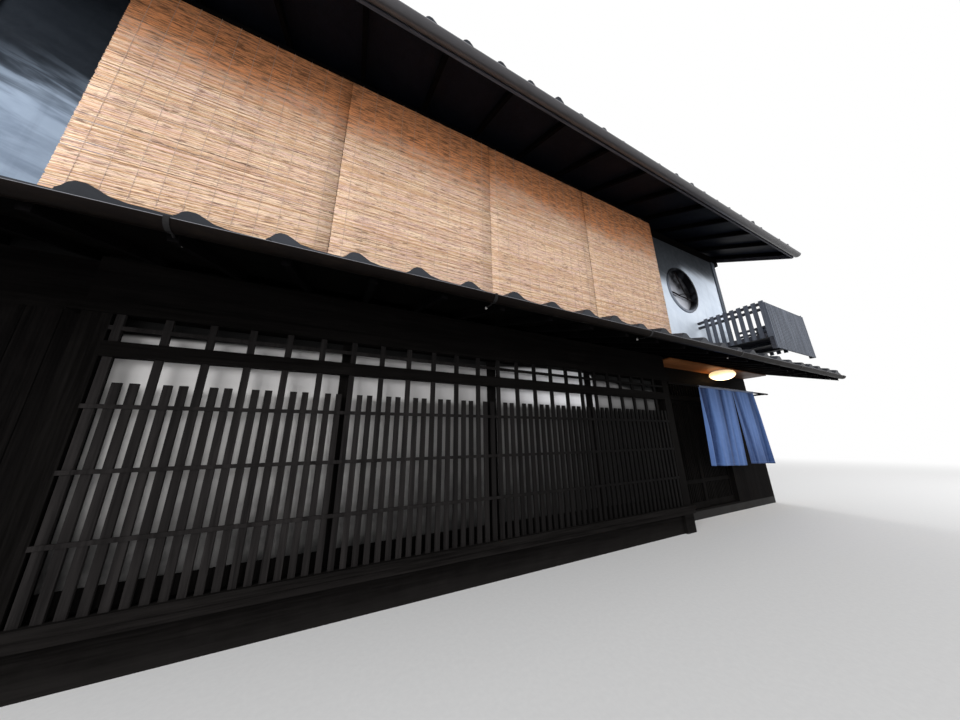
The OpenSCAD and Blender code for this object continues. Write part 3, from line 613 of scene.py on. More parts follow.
@dataclass(frozen=True)
class Sheet(Finish):
    """Smooth sheet of plastic or painted metal, lightly soiled, with a painted highlight along its lip above lip_z."""

    colour: Colour
    soiled: Colour
    roughness: float
    coat: float = 0.0
    gloss: float = 0.5
    lip_z: float = 0.0
    lip_highlight: Colour = ZERO
    LIP_BAND = 0.003

    def paint(self, work: Material) -> None:
        """Soil in patches and streaks, and the painted highlight on the lip."""
        patch = work.mottle(4.0, 0.5, 0.8)
        soil = (patch + work.mottle(3.0, 0.45, 0.8, work.stretched(work.place, 3.0, 3.0, 12.0))) * 0.4
        colour = work.blend(soil, self.colour, self.soiled)
        # Painted highlight along the lip, broken up by patches.
        if self.lip_z:
            painted_highlight = work.fit(work.axis(2), self.lip_z, self.lip_z + self.LIP_BAND)
            colour = work.blend(painted_highlight * work.fit(patch, 0.0, 1.0, 1.0, 0.3), colour, self.lip_highlight)
        work.set(Base_Color=colour, Roughness=self.roughness + soil * 0.25, Specular_IOR_Level=self.gloss,
                 Coat_Weight=self.coat, Coat_Roughness=0.05)
        work.bump(work.cloud(work.place, 40.0, 2.0), 0.0006, 0.3)


@dataclass(frozen=True)
class Screen(Finish):
    """Sheet with the reveal's shade painted on: grey to the upper right, pale from the round window's middle down to
    the left.
    """

    pale: Colour
    grey: Colour
    low: float
    high: float
    MIDDLE, WAY = (3.961, 0.0, 4.43), (-0.55, 0.0, -0.84)

    def paint(self, work: Material) -> None:
        """The painted shade's change of tone, a little cloudy."""
        apart = work.vector("SUBTRACT", work.place, self.MIDDLE)
        reach = work.value("ShaderNodeVectorMath", {0: apart, 1: self.WAY}, "Value", operation="DOT_PRODUCT")
        patch = work.cloud(work.place, 7.0, 4.0)
        # Painted shade of the reveal: grey towards the upper right, pale towards the lower left.
        tone = work.fit(reach, self.low, self.high) + work.fit(patch, 0.3, 0.7, -0.1, 0.1)
        work.set(Base_Color=work.blend(tone, self.grey, self.pale), Specular_IOR_Level=0.15,
                 Roughness=work.fit(patch, 0.3, 0.7, 0.45, 0.6))
        work.bump(patch, 0.001, 0.3)


@dataclass(frozen=True)
class LatticeScreen(Finish):
    """Translucent sheet behind the lattice, palest along its top as painted light, painted shade towards foot and far
    end.
    """

    pale: Colour
    bright: Colour
    dim: Colour
    dust_and_shade: Colour
    TOP_Z, RAIL_Z = 1.72, 2.125

    def paint(self, work: Material) -> None:
        """Painted shade low and far, painted light along the top with one bright stretch, and painted shade above the
        rail.
        """
        x, _, z = work.parts(work.place)
        patch = work.cloud(work.place, 5.0, 4.0)
        # Painted shade: darker towards the foot and the far end.
        rise = work.fit(z + work.fit(patch, 0.3, 0.7, -0.1, 0.1), 0.30, 1.55)
        colour = work.blend(rise * work.fit(x, -3.2, 0.9, 1.0, 0.02), self.dust_and_shade, self.dim)
        # Painted light: paler along the top, brightest on one stretch of it.
        ends = work.fit(x, -4.2, -2.6, 0.55, 1.0) * work.fit(x, 0.55, 1.6, 0.7, 0.12)
        lit = work.fit(x, -1.3, 0.1) * work.fit(x, 0.66, 0.56)
        crown = work.fit(z, self.TOP_Z - 0.07, self.TOP_Z + 0.06)
        colour = work.blend(crown * ends, colour, self.pale)
        colour = work.blend(crown * lit, colour, self.bright)
        # Painted shade above the rail.
        over = z - x * 0.02 + work.fit(x, 0.9, 1.5, 0.0, 0.1) + work.fit(x, 0.5, 0.7, 0.0, 0.06) - lit * 0.05
        colour = work.blend(work.fit(over, self.RAIL_Z, self.RAIL_Z + 0.04), colour, SHADOW)
        work.set(Base_Color=colour, Roughness=work.fit(patch, 0.3, 0.7, 0.45, 0.6), Specular_IOR_Level=0.15)
        work.bump(patch, 0.001, 0.3)


@dataclass(frozen=True)
class Glass(Finish):
    """Window glass over a dark room."""

    tint: Colour
    transmission: float
    gloss: float = 0.5

    def paint(self, work: Material) -> None:
        """The tint, a little smeared."""
        smear = work.cloud(work.place, 3.0, 4.0)
        colour = work.blend(work.fit(smear, 0.3, 0.7), self.tint, shade(self.tint, 0.8))
        work.set(Base_Color=colour, Roughness=work.fit(smear, 0.3, 0.7, 0.02, 0.07), IOR=1.45,
                 Specular_IOR_Level=self.gloss, Transmission_Weight=self.transmission)


@dataclass(frozen=True)
class Glow(Finish):
    """Opal glass, lit from inside, warmer and dimmer at the rim of its own piece."""

    colour: Colour
    strength: float
    RIM = (0.85, 0.66, 0.42)

    def paint(self, work: Material) -> None:
        """Light that falls off from the lamp's middle."""
        low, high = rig.box(self.on)
        radius = (high.x - low.x) / 2
        reach = work.from_axis(work.vector("SUBTRACT", work.place, (low + high) / 2))
        edge = tuple(c * share for c, share in zip(self.colour, self.RIM))
        work.set(Base_Color=(0.9, 0.86, 0.8), Roughness=0.25, Specular_IOR_Level=0.5,
                 Emission_Color=work.blend(work.fit(reach, 0.4 * radius, radius), self.colour, edge),
                 Emission_Strength=self.strength)


BLACK = ((0.0021, 0.0019, 0.0018), (0.0060, 0.0054, 0.0052))
GREY = {"gloss": 0.15, "worn": (0.13, 0.137, 0.155)}
FINISHES = {
    "beam": Timber("black_beam", *BLACK, on="lintel_beam roof_beams bay_base bay_head_rail bay_top_beam "
                   "noren_rod blind_rail floor_joists entrance_frame"),
    "post": Timber("black_post", *BLACK, grain=Grain.ALONG_Z, on="front_posts bay_posts bay_cheeks "
                   "screen_frames window_sashes door_leaf_left door_leaf_right"),
    "sill": Timber("black_sill", (0.0032, 0.0029, 0.0028), (0.0100, 0.0090, 0.0087), gloss=0.004,
                   on="bay_sill"),
    # The slats are painted darker towards the right end, as shade.
    "slat": Timber("black_slat", (0.0056, 0.0051, 0.0051), (0.0190, 0.0172, 0.0170), Grain.ALONG_Z, 0.085,
                   gloss=0.03, worn=(0.034, 0.031, 0.030), painted_shade=(-2.8, 1.2, 0.86),
                   on="bay_lattice transom_grid"),
    "rafter": Timber("black_rafter", (0.0014, 0.0013, 0.0014), (0.0036, 0.0033, 0.0037), Grain.ALONG_Y,
                     on="roof_rafters pent_rafters"),
    "wall_boards": Timber("black_wall_boards", (0.0020, 0.0018, 0.0018), (0.0060, 0.0053, 0.0052),
                          Grain.ALONG_Z, 0.18, 0.006, on="boarded_walls"),
    "soffit": Timber("dark_soffit", (0.0028, 0.0036, 0.0064), (0.0066, 0.0082, 0.0138), Grain.ALONG_Y, 0.78,
                     roughness=0.5, gloss=0.05, worn=(0.015, 0.0155, 0.022), on="roof_boards"),
    "pent_boards": Timber("black_pent_boards", (0.0014, 0.0013, 0.0013), (0.0036, 0.0033, 0.0032),
                          board=0.15, joint=0.005, across=1, on="pent_boards"),
    "barge": Timber("grey_barge_board", (0.020, 0.0198, 0.024), (0.060, 0.059, 0.070), **GREY,
                    on="barge_boards"),
    "grey_slat": Timber("grey_slat", (0.044, 0.051, 0.066), (0.140, 0.155, 0.190), Grain.ALONG_Z, 0.05,
                        roughness=0.55, **GREY, on="balcony_slats"),
    "grey_beam": Timber("grey_beam", (0.014, 0.015, 0.020), (0.044, 0.047, 0.059), roughness=0.5, **GREY,
                        on="balcony_frame balcony_deck"),
    "corner": Timber("grey_corner_board", (0.03, 0.036, 0.048), (0.085, 0.10, 0.125), Grain.ALONG_Z,
                     **GREY, on="corner_boards"),
    # The ceiling boards are painted darker towards the right, away from the lamp, as shade.
    "ceiling": Timber("brown_ceiling", (0.10, 0.034, 0.010), (0.27, 0.105, 0.036), board=0.1, joint=0.004,
                      across=1, roughness=0.45, gloss=0.1, worn=(0.30, 0.15, 0.07), dust_and_shade=0.0,
                      painted_shade=(4.1, 4.9, 0.8), on="entrance_ceiling"),
    "floor": Timber("floor_wood", (0.16, 0.10, 0.06), (0.34, 0.23, 0.14), board=0.12, joint=0.003, across=1,
                    roughness=0.45, gloss=0.4, worn=(0.4, 0.3, 0.2), dust_and_shade=0.0, on="floor_boards"),
    "branch": Timber("dark_branch", (0.006, 0.0055, 0.006), (0.024, 0.020, 0.020), dust_and_shade=0.0,
                     on="round_window_branches"),
    # The plasters are painted darker under the eaves, as shade, and the front ones black below the pent roof.
    "plaster": Plaster("blue_grey_plaster", (0.115, 0.147, 0.200), (0.265, 0.325, 0.41), 3.84, 4.96,
                       on="front_wall_upper"),
    "pale_plaster": Plaster("pale_blue_plaster", (0.56, 0.63, 0.73), (0.80, 0.87, 0.96), 4.80, 5.50,
                            stroke=0.12, ragged=0.02, sag=(4.35, 3.35, 0.48), on="round_window_wall"),
    "render": Plaster("grey_render", (0.25, 0.255, 0.26), (0.38, 0.38, 0.38), 4.6, 7.0, eave_shade=0.5,
                      stroke=0.35, foot=-1.0, on="party_walls rear_wall"),
    "stone": Stone("dressed_stone", (0.20, 0.195, 0.185), (0.46, 0.45, 0.43), on="ground_floor"),
    "kerb": Stone("dark_kerb", (0.0035, 0.0033, 0.0031), (0.015, 0.014, 0.0135), on="footing"),
    "tile": SmokedTile("smoked_tile", (0.011, 0.0125, 0.016), (0.040, 0.044, 0.054),
                       on="ridge_course roof_tiles pent_tiles"),
    "reed": Reed("reed", (0.78, 0.61, 0.45), (0.66, 0.47, 0.40), (0.48, 0.28, 0.135), (0.17, 0.085, 0.045),
                 (0.60, 0.235, 0.088), on="reed_blinds"),
    "thread": Sheet("binding_thread", (0.42, 0.32, 0.27), (0.28, 0.20, 0.16), 0.8, gloss=0.1),
    "cloth": Cloth("indigo_cloth", (0.0015, 0.010, 0.050), (0.098, 0.174, 0.385), on="noren"),
    "sleeve": Cloth("faded_indigo_cloth", (0.10, 0.13, 0.20), (0.20, 0.24, 0.34)),
    # The gutters carry a painted highlight along their lips.
    "grey_gutter": Sheet("grey_gutter", (0.040, 0.0385, 0.042), (0.022, 0.021, 0.023), 0.35, 0.1, 0.4,
                         5.044, (0.16, 0.16, 0.175), on="eave_gutters"),
    "dark_gutter": Sheet("dark_gutter", (0.0042, 0.0031, 0.0028), (0.012, 0.0082, 0.0058), 0.4, 0.0, 0.03,
                         2.3690, (0.20, 0.20, 0.215), on="pent_gutter"),
    "steel": Sheet("bright_steel", (0.45, 0.44, 0.43), (0.2, 0.19, 0.18), 0.35),
    "hardware": Sheet("dull_steel", (0.012, 0.0115, 0.012), (0.006, 0.005, 0.0045), 0.4, gloss=0.12),
    "enamel": Sheet("white_enamel", (0.78, 0.76, 0.72), (0.5, 0.47, 0.42), 0.3, 0.3, on="lamp_base"),
    # The screen behind the lattice is painted pale along its top, and dark low, far and above the rail, as light and
    # shade.
    "screen": LatticeScreen("pale_screen", (0.42, 0.412, 0.415), (0.92, 0.92, 0.95), (0.66, 0.645, 0.635),
                            (0.016, 0.0155, 0.0155), on="screen_panels"),
    # The round window's paper and ring are painted grey towards the upper right, as the reveal's shade.
    "paper": Screen("window_paper", (0.50, 0.52, 0.58), (0.012, 0.012, 0.014), -0.26, 0.26,
                    on="round_window_pane"),
    "ring": Screen("window_ring", (0.17, 0.19, 0.23), (0.003, 0.003, 0.004), -0.10, 0.45,
                   on="round_window_ring"),
    "glass": Glass("window_glass", (0.86, 0.90, 0.90), 0.95, on="window_glass"),
    "dark_glass": Glass("smoked_glass", (0.004, 0.004, 0.0042), 0.2, 0.1,
                        on="leaf_glass_left leaf_glass_right"),
    "lamp": Glow("lit_opal", (1.0, 0.90, 0.72), 1.25, on="lamp_shade"),
}


class Finishes(dict):
    """The material of every finish, by its key."""

    def __init__(self) -> None:
        """Makes each material once."""
        super().__init__((key, finish.material()) for key, finish in FINISHES.items())

    def dress(self, nodes: dict[str, bpy.types.Object]) -> None:
        """Puts the materials on the structure's own pieces.

        Args:
            nodes: The structure's pieces by name.
        """
        for key, finish in FINISHES.items():
            for name in finish.on.split():
                materials = nodes[name].data.materials
                materials.clear()
                materials.append(self[key])
            if finish.on:
                LOG.info("%s on %s", finish.name, finish.on)


class Draft:
    """Points and faces of a mesh while it is put together."""

    def __init__(self) -> None:
        """Starts with nothing."""
        self.points: list[Vector] = []
        self.faces: list[tuple[int, ...]] = []

    def grid(self, rows: Sequence[Sequence[Place]], closed: bool = True) -> "Draft":
        """Adds a net of faces over rows of points.

        Args:
            rows: Rows with the same number of points.
            closed: Whether each row closes on itself, and the first and last rows are filled.

        Returns:
            The draft itself.
        """
        first, across = len(self.points), len(rows[0])
        self.points += [Vector(p) for row in rows for p in row]
        for i in range(len(rows) - 1):
            for j in range(across if closed else across - 1):
                a, b = first + i * across + j, first + i * across + (j + 1) % across
                self.faces.append((a, b, b + across, a + across))
        if closed:
            self.faces.append(tuple(range(first + across - 1, first - 1, -1)))
            self.faces.append(tuple(range(len(self.points) - across, len(self.points))))
        return self

    def rod(self, path: Sequence[Vector], radii: Sequence[float], sides: int = 8) -> "Draft":
        """Adds a round rod along a path.

        Args:
            path: Points of its centre line.
            radii: Radius at each point.
            sides: Number of its sides.

        Returns:
            The draft itself.
        """
        rows = []
        for i, point in enumerate(path):
            ahead = (path[min(i + 1, len(path) - 1)] - path[max(i - 1, 0)]).normalized()
            side = ahead.cross(UP)
            side = side.normalized() if side.length > 0.01 else Vector((1.0, 0.0, 0.0))
            up = side.cross(ahead)
            rows.append([point + radii[i] * (math.cos(a) * side + math.sin(a) * up)
                         for a in (math.tau * k / sides for k in range(sides))])
        return self.grid(rows)

    def mesh(self, name: str, smooth: bool = False, outwards: bool = True) -> bpy.types.Mesh:
        """The mesh.

        Args:
            name: Name of the mesh.
            smooth: Whether its faces are shaded as one curve.
            outwards: Whether its faces are turned outwards.

        Returns:
            The mesh.
        """
        mesh = bpy.data.meshes.new(name)
        mesh.from_pydata(self.points, [], self.faces)
        if outwards:
            reworked(mesh, lambda work: bmesh.ops.recalc_face_normals(work, faces=work.faces))
        mesh.polygons.foreach_set("use_smooth", [smooth] * len(mesh.polygons))
        return mesh


def reworked(mesh: bpy.types.Mesh, *steps: Callable[[bmesh.types.BMesh], object]) -> bpy.types.Mesh:
    """Works on a mesh in place, and returns it.

    Args:
        mesh: The mesh.
        steps: What is done, each to the mesh's points and faces in their editable form.

    Returns:
        The same mesh.
    """
    work = bmesh.new()
    work.from_mesh(mesh)
    for step in steps:
        step(work)
    work.to_mesh(mesh)
    work.free()
    return mesh


def merged(name: str, meshes: Sequence[bpy.types.Mesh]) -> bpy.types.Mesh:
    """One new mesh of several, with their attributes."""
    return reworked(bpy.data.meshes.new(name), *(lambda work, m=mesh: work.from_mesh(m) for mesh in meshes))


def linked(name: str, data: bpy.types.ID) -> bpy.types.Object:
    """A new object in the scene."""
    made = bpy.data.objects.new(name, data)
    bpy.context.scene.collection.objects.link(made)
    return made


class Repeat(Tree):
    """Geometry Nodes that repeat one shape over a grid of places, each copy a little different."""

    INPUTS = {
        "Geometry": "Geometry", "Shape": "Object", "Finish": "Material", "Across": "Int", "Up": "Int",
        "Start": "Vector", "Step Across": "Vector", "Step Up": "Vector", "Shift": "Vector", "Turn": "Vector",
        "Seed": "Int"}
    SEED_STEP = 7.0

    def __init__(self) -> None:
        """Builds the tree."""
        super().__init__(bpy.data.node_groups.new("repeat_over_grid", "GeometryNodeTree"))
        for label, kind in self.INPUTS.items():
            self.tree.interface.new_socket(label, in_out="INPUT", socket_type="NodeSocket" + kind)
        self.tree.interface.new_socket("Geometry", in_out="OUTPUT", socket_type="NodeSocketGeometry")
        given = self.values("NodeGroupInput")
        line = self.value("GeometryNodeMeshLine", {"Count": given["Across"] * given["Up"], "Offset": ZERO})
        index = self.value("GeometryNodeInputIndex")
        row = self.maths("FLOOR", (index + 0.5) / given["Across"])
        steps = self.vector("ADD", self.scaled(given["Step Across"], index - row * given["Across"]),
                            self.scaled(given["Step Up"], row))
        place = self.vector("ADD", self.vector("ADD", given["Start"], steps),
                            self.chance(given["Shift"], given["Seed"], 1))
        copies = self.value("GeometryNodeInstanceOnPoints", {
            "Points": self.value("GeometryNodeSetPosition", {"Geometry": line, "Position": place}),
            "Instance": self.value("GeometryNodeObjectInfo", {"Object": given["Shape"], "As Instance": True},
                                   "Geometry"),
            "Rotation": self.chance(given["Turn"], given["Seed"], 2)})
        store = self.node("GeometryNodeStoreNamedAttribute", {"Geometry": copies, "Name": "tint"},
                          data_type="FLOAT", domain="INSTANCE")
        self.feed(next(s for s in store.inputs if s.name == "Value" and s.enabled), self.value(
            "FunctionNodeRandomValue", {"Seed": given["Seed"]}, 1, data_type="FLOAT"))
        real = self.value("GeometryNodeRealizeInstances", {0: Value(self, store.outputs[0])})
        self.node("NodeGroupOutput", {0: self.value(
            "GeometryNodeSetMaterial", {"Geometry": real, "Material": given["Finish"]})})

    def scaled(self, vector: Value, factor: Value) -> Value:
        """Vector times a number."""
        return self.value("ShaderNodeVectorMath", {0: vector, "Scale": factor}, operation="SCALE")

    def chance(self, reach: Value, seed: Value, draw: int) -> Value:
        """Random vector for each copy, up to reach either way."""
        drawn = self.value("FunctionNodeRandomValue", {
            0: (-1.0, -1.0, -1.0), 1: (1.0, 1.0, 1.0), "Seed": seed * self.SEED_STEP + float(draw)},
            data_type="FLOAT_VECTOR")
        return self.vector("MULTIPLY", drawn, reach)

    def mesh(self, name: str, shape: bpy.types.Mesh, finish: bpy.types.Material,
             **inputs: object) -> bpy.types.Mesh:
        """Runs the tree.

        Args:
            name: Name of the resulting mesh.
            shape: Mesh of one copy.
            finish: Material of the copies.
            inputs: Values of the tree's inputs, with _ for each space.

        Returns:
            All copies as one plain mesh.
        """
        pattern = linked(name + "_pattern", shape)
        carrier = linked(name + "_carrier", bpy.data.meshes.new(name + "_carrier"))
        modifier = carrier.modifiers.new("repeat", "NODES")
        modifier.node_group = self.tree
        values = {"Shape": pattern, "Finish": finish, "Across": 1, "Up": 1, "Seed": 1}
        values |= {label.replace("_", " "): value for label, value in inputs.items()}
        for item in self.tree.interface.items_tree:
            if item.in_out == "INPUT" and item.name in values:
                modifier[item.identifier] = values[item.name]
        graph = bpy.context.evaluated_depsgraph_get()
        made = bpy.data.meshes.new_from_object(carrier.evaluated_get(graph), depsgraph=graph)
        made.name = name
        for thing in (carrier, pattern):
            bpy.data.objects.remove(thing)
        return made


@dataclass
class Builder:
    """A maker of pieces, with the finishes and the repeating tree that it works with."""

    finishes: Finishes
    repeat: Repeat

    def piece(self, name: str, mesh: bpy.types.Mesh, finish: str, slot: str,
              replaces: Sequence[str] = ()) -> bpy.types.Object:
        """Makes a finished piece that rides on the house.

        Args:
            name: Name of the piece.
            mesh: Its mesh, in place.
            finish: Key of its finish.
            slot: The record's material slot that it belongs to.
            replaces: Nodes that it stands for.

        Returns:
            The piece.
        """
        made = linked(name, mesh)
        mesh.materials.clear()
        mesh.materials.append(self.finishes[finish])
        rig.ride(made, HOUSE)
        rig.slot(made, slot)
        if replaces:
            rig.replaces(made, *replaces)
        LOG.info("%s: %d faces", name, len(mesh.polygons))
        return made

    def copies(self, name: str, shape: bpy.types.Mesh, finish: str, **inputs: object) -> bpy.types.Mesh:
        """Many copies of one shape as one mesh, from the repeating tree's own inputs."""
        return self.repeat.mesh(name, shape, self.finishes[finish], **inputs)

    def row(self, name: str, shape: bpy.types.Mesh, finish: str, slot: str, count: int, step: float,
            **inputs: object) -> None:
        """Makes a piece of copies of one shape in a row along the street."""
        mesh = self.copies(name, shape, finish, Across=count, Step_Across=(step, 0.0, 0.0), **inputs)
        self.piece(name, mesh, finish, slot)


@dataclass
class TiledSlope:
    """Pantiles of one roof slope, in overlapping courses from the eaves up.

    WAVE is the outline of a tile: shares of its width, and shares of its wave's height.
    """

    name: str
    eave_y: float
    eave_z: float
    rise: float
    run: float
    side: Slope
    half: float = 5.925
    pitch: float = 0.395
    first: float = 0.29
    thickness: float = 0.017
    wave: float = 0.052
    course: float = 0.262
    overlap: float = 0.055
    lift: float = 0.014
    rim: float = 0.014
    gap: float = 0.004
    WAVE = ((0.0, 0.0), (0.05, 0.3), (0.1, 0.75), (0.16, 1.0), (0.24, 1.0), (0.32, 0.72), (0.42, 0.32),
            (0.6, 0.08), (0.71, 0.058), (1.0, 0.0), (1.04, 0.2))

    @property
    def angle(self) -> float:
        """Angle of the slope in radians."""
        return math.atan(self.rise)

    @property
    def turn(self) -> Matrix:
        """Turn that brings the street's slope to this one's side."""
        return Matrix.Rotation(math.radians(self.side.value), 3, "Z")

    def height(self, share: float) -> float:
        """Height of the wave at a share of the tile's width."""
        for (u0, h0), (u1, h1) in zip(self.WAVE, self.WAVE[1:]):
            if u0 <= share <= u1:
                return h0 + (h1 - h0) * (share - u0) / (u1 - u0)
        return 0.0

    def profile(self, start: float, end: float) -> list[tuple[float, float]]:
        """Outline of the part of a tile between two shares of its width: how far, and how high."""
        inner = [(u, h) for u, h in self.WAVE if start < u < end]
        return [(u * self.pitch, h * self.wave) for u, h in (
            (start, self.height(start)), *inner, (end, self.height(end)))]

    def place(self, x: float, along: float, off: float) -> Vector:
        """Point on the slope, from X, the way up from the eaves and the distance off the boards."""
        angle = self.angle
        return self.turn @ Vector((x, self.eave_y + along * math.cos(angle) - off * math.sin(angle),
                                   self.eave_z + along * math.sin(angle) + off * math.cos(angle)))

    def tile(self, start: float, end: float, eaves: bool) -> bpy.types.Mesh:
        """Mesh of one tile at the eaves, in the first full column.

        Args:
            start: Share of the tile's width at which it starts.
            end: Share of the tile's width at which it ends.
            eaves: Whether its lower edge has the plate that closes the hollow under the wave.

        Returns:
            The mesh.
        """
        outline = self.profile(start, end)
        left = self.first * self.pitch - self.half
        # Each section: its way up the slope, how much its upper side sinks, how far the tile is lifted,
        # and whether the hollow under the wave is shut.
        sections = [(0.0, -0.003, self.lift, eaves), (self.rim, 0.0, self.lift, eaves)]
        if eaves:
            sections.append((self.rim * 1.02, 0.0, self.lift, False))
        sections.append((self.course + self.overlap, 0.0, 0.0, False))
        rows = []
        for along, top, lift, shut in sections:
            lower = [(x, -0.004 if shut else off + lift) for x, off in outline]
            upper = [(x, off + lift + self.thickness + top) for x, off in reversed(outline)]
            rows.append([self.place(x + left, along, off) for x, off in lower + upper])
        return Draft().grid(rows).mesh(self.name + "_tile")

    def build(self, builder: Builder) -> bpy.types.Mesh:
        """All courses of the slope as one mesh, made with a builder's finishes and repeating tree."""
        length = self.run / math.cos(self.angle)
        columns = int(2 * self.half / self.pitch - 0.5)
        courses = int((length - self.overlap) / self.course)
        course = (length - self.overlap) / courses
        step = self.turn @ Vector((0.0, course * math.cos(self.angle), course * math.sin(self.angle)))
        across = self.turn @ Vector((self.pitch, 0.0, 0.0))
        verge, end = 1.0 - self.first, self.WAVE[-1][0]
        seed = 3 if self.side is Slope.STREET else 4
        parts = []
        for row, (start_row, count) in enumerate(((Vector(), 1), (step, courses - 1))):
            for label, left, right, column, wide in (
                    ("left", verge + self.gap, end, -1, 1), ("field", 0.0, end, 0, columns),
                    ("right", 0.0, verge - self.gap, columns, 1)):
                parts.append(builder.copies(
                    f"{self.name}_{label}_{row}", self.tile(left, right, row == 0), "tile", Across=wide,
                    Up=count, Start=start_row + column * across, Step_Across=across, Step_Up=step,
                    Shift=(0.001, 0.002, 0.0012), Turn=(0.003, 0.0, 0.0015), Seed=seed + 10 * row + column))
        return merged(self.name, parts)


@dataclass
class Roofs(Builder):
    """Tiles of the main roof and the pent roof, and the ridge's caps."""

    slope: float = 0.54
    pent_slope: float = 0.32
    crest: float = 0.072
    ridge_y: float = -0.1
    cap_length: float = 0.3
    cap_inset: float = 0.018
    cap_lip: float = 0.006
    cap_lip_wide: float = 0.03

    def build(self) -> None:
        """Makes the tiles of every slope and the caps of the ridge."""
        for side in Slope:
            self.cover(f"main_tiles_{side.name.lower()}", "roof_tiles", self.slope, side)
        self.cover("pent_roof_tiles", "pent_tiles", self.pent_slope, Slope.STREET)
        self.ridge()

    def cover(self, name: str, node: str, rise: float, side: Slope) -> None:
        """Tiles one slope in place of its plain layer.

        Args:
            name: Name of the tiles.
            node: The layer that they stand for.
            rise: Rise of the slope for each unit of run.
            side: Side that it falls to.
        """
        low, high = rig.box(node)
        foot = low.y + self.crest * math.sin(math.atan(rise))
        end = self.ridge_y if node == "roof_tiles" else high.y
        slope = TiledSlope(name, foot, low.z, rise, end - foot, side)
        self.piece(name, slope.build(self), "tile", "roof_tile", replaces=[node])

    def ridge(self) -> None:
        """Round cap tiles on the ridge course."""
        low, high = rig.box("ridge_course")
        radius = (high.y - low.y) / 2 - self.cap_inset
        middle, inner = high.z - radius - 0.012, radius - 0.008
        rows = [[Vector((low.x + x, r * math.cos(a), middle + r * math.sin(a)))
                 for a in (math.pi * k / 12 for k in range(13))]
                for x, r in ((0.0, inner + self.cap_lip), (self.cap_lip_wide, inner + self.cap_lip),
                             (self.cap_lip_wide + 0.001, inner), (self.cap_length, inner))]
        count = int((high.x - low.x) / self.cap_length)
        self.row("ridge_caps", Draft().grid(rows).mesh("ridge_cap"), "tile", "roof_tile", count,
                 (high.x - low.x) / count, Shift=(0.001, 0.0, 0.001), Turn=(0.0, 0.002, 0.002))


@dataclass
class ReedBlinds(Builder):
    """Blinds of horizontal reeds, bound by threads, in front of the upper windows."""

    gap: float = 0.003
    reed_r: float = 0.0035
    reed_pitch: float = 0.0066
    reed_steps: int = 9
    kinds: int = 7
    thread_pitch: float = 0.165
    thread_wide: float = 0.0028
    thread_thick: float = 0.002
    hem_r: float = 0.011
    hem_out: float = 0.004
    foot: float = 0.04
    top_gap: float = 0.005
    hems: tuple[float, float] = (0.012, 0.034)
    depths: tuple[float, ...] = (0.003, -0.003, 0.002, -0.002)

    def reed(self, width: float, start: Vector, seed: int) -> bpy.types.Mesh:
        """Mesh of one reed, gently bent.

        Args:
            width: Its length.
            start: Its left end.
            seed: Choice of its bends.

        Returns:
            The mesh.
        """
        chance = random.Random(seed)
        path = [start + Vector((width * k / self.reed_steps, chance.uniform(-0.0016, 0.0010),
                                chance.uniform(-0.0011, 0.0011))) for k in range(self.reed_steps + 1)]
        radii = [self.reed_r * chance.uniform(0.98, 1.16) for _ in path]
        return Draft().rod(path, radii, 6).mesh("reed", smooth=True)

    def threads(self, width: float, low: Vector, high_z: float) -> bpy.types.Mesh:
        """Binding threads of one blind, wound in front of and behind its reeds.

        Args:
            width: Width of the blind.
            low: Its lower left corner, on its middle plane.
            high_z: Height of its top.

        Returns:
            The mesh.
        """
        draft = Draft()
        number = int(width / self.thread_pitch)
        edge = (width - (number - 1) * self.thread_pitch) / 2
        levels = int((high_z - low.z) / (self.reed_pitch * 3))
        half = self.thread_wide / 2
        for side in (-1.0, 1.0):
            rows = []
            for k in range(levels + 1):
                out = side * (self.reed_r + 0.0016 + 0.0008 * (k % 2))
                back = out - side * self.thread_thick
                rows.append([Vector((low.x + edge + x, low.y + y, low.z + (high_z - low.z) * k / levels))
                             for x, y in ((-half, out), (half, out), (half, back), (-half, back))])
            draft.grid(rows)
        return self.copies("threads", draft.mesh("thread"), "thread", Across=number,
                           Step_Across=(self.thread_pitch, 0.0, 0.0), Shift=(0.003, 0.0, 0.0))

    def build(self) -> None:
        """Makes the blinds with their threads and the two rods of each hem."""
        low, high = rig.box("reed_blinds")
        pitch = (high.x - low.x + self.gap) / len(self.depths)
        width = pitch - self.gap
        rows = int((high.z - low.z - self.foot - self.top_gap) / self.reed_pitch)
        for k, depth in enumerate(self.depths):
            start = Vector((low.x + k * pitch, (low.y + high.y) / 2 + depth, low.z + self.foot))
            reeds = [self.copies(f"reeds_{k}_{kind}", self.reed(width, start, 10 * k + kind), "reed",
                                 Up=(rows - kind - 1) // self.kinds + 1,
                                 Start=(0.0, 0.0, kind * self.reed_pitch),
                                 Step_Up=(0.0, 0.0, self.kinds * self.reed_pitch),
                                 Shift=(0.003, 0.0010, 0.0009), Turn=(0.0, 0.0006, 0.0006),
                                 Seed=20 + 7 * k + kind) for kind in range(self.kinds)]
            self.piece(f"reed_blind_{k + 1}", merged("reeds", reeds), "reed", "reed",
                       replaces=["reed_blinds"])
            self.piece(f"blind_threads_{k + 1}", self.threads(width, start, high.z), "thread", "reed")
            hem = Draft()
            for up in self.hems:
                hem.rod([Vector((x, start.y, low.z + up)) for x in (
                    start.x - self.hem_out, start.x + width + self.hem_out)], [self.hem_r, self.hem_r], 10)
            self.piece(f"blind_hem_{k + 1}", hem.mesh("hem", smooth=True), "reed", "reed")


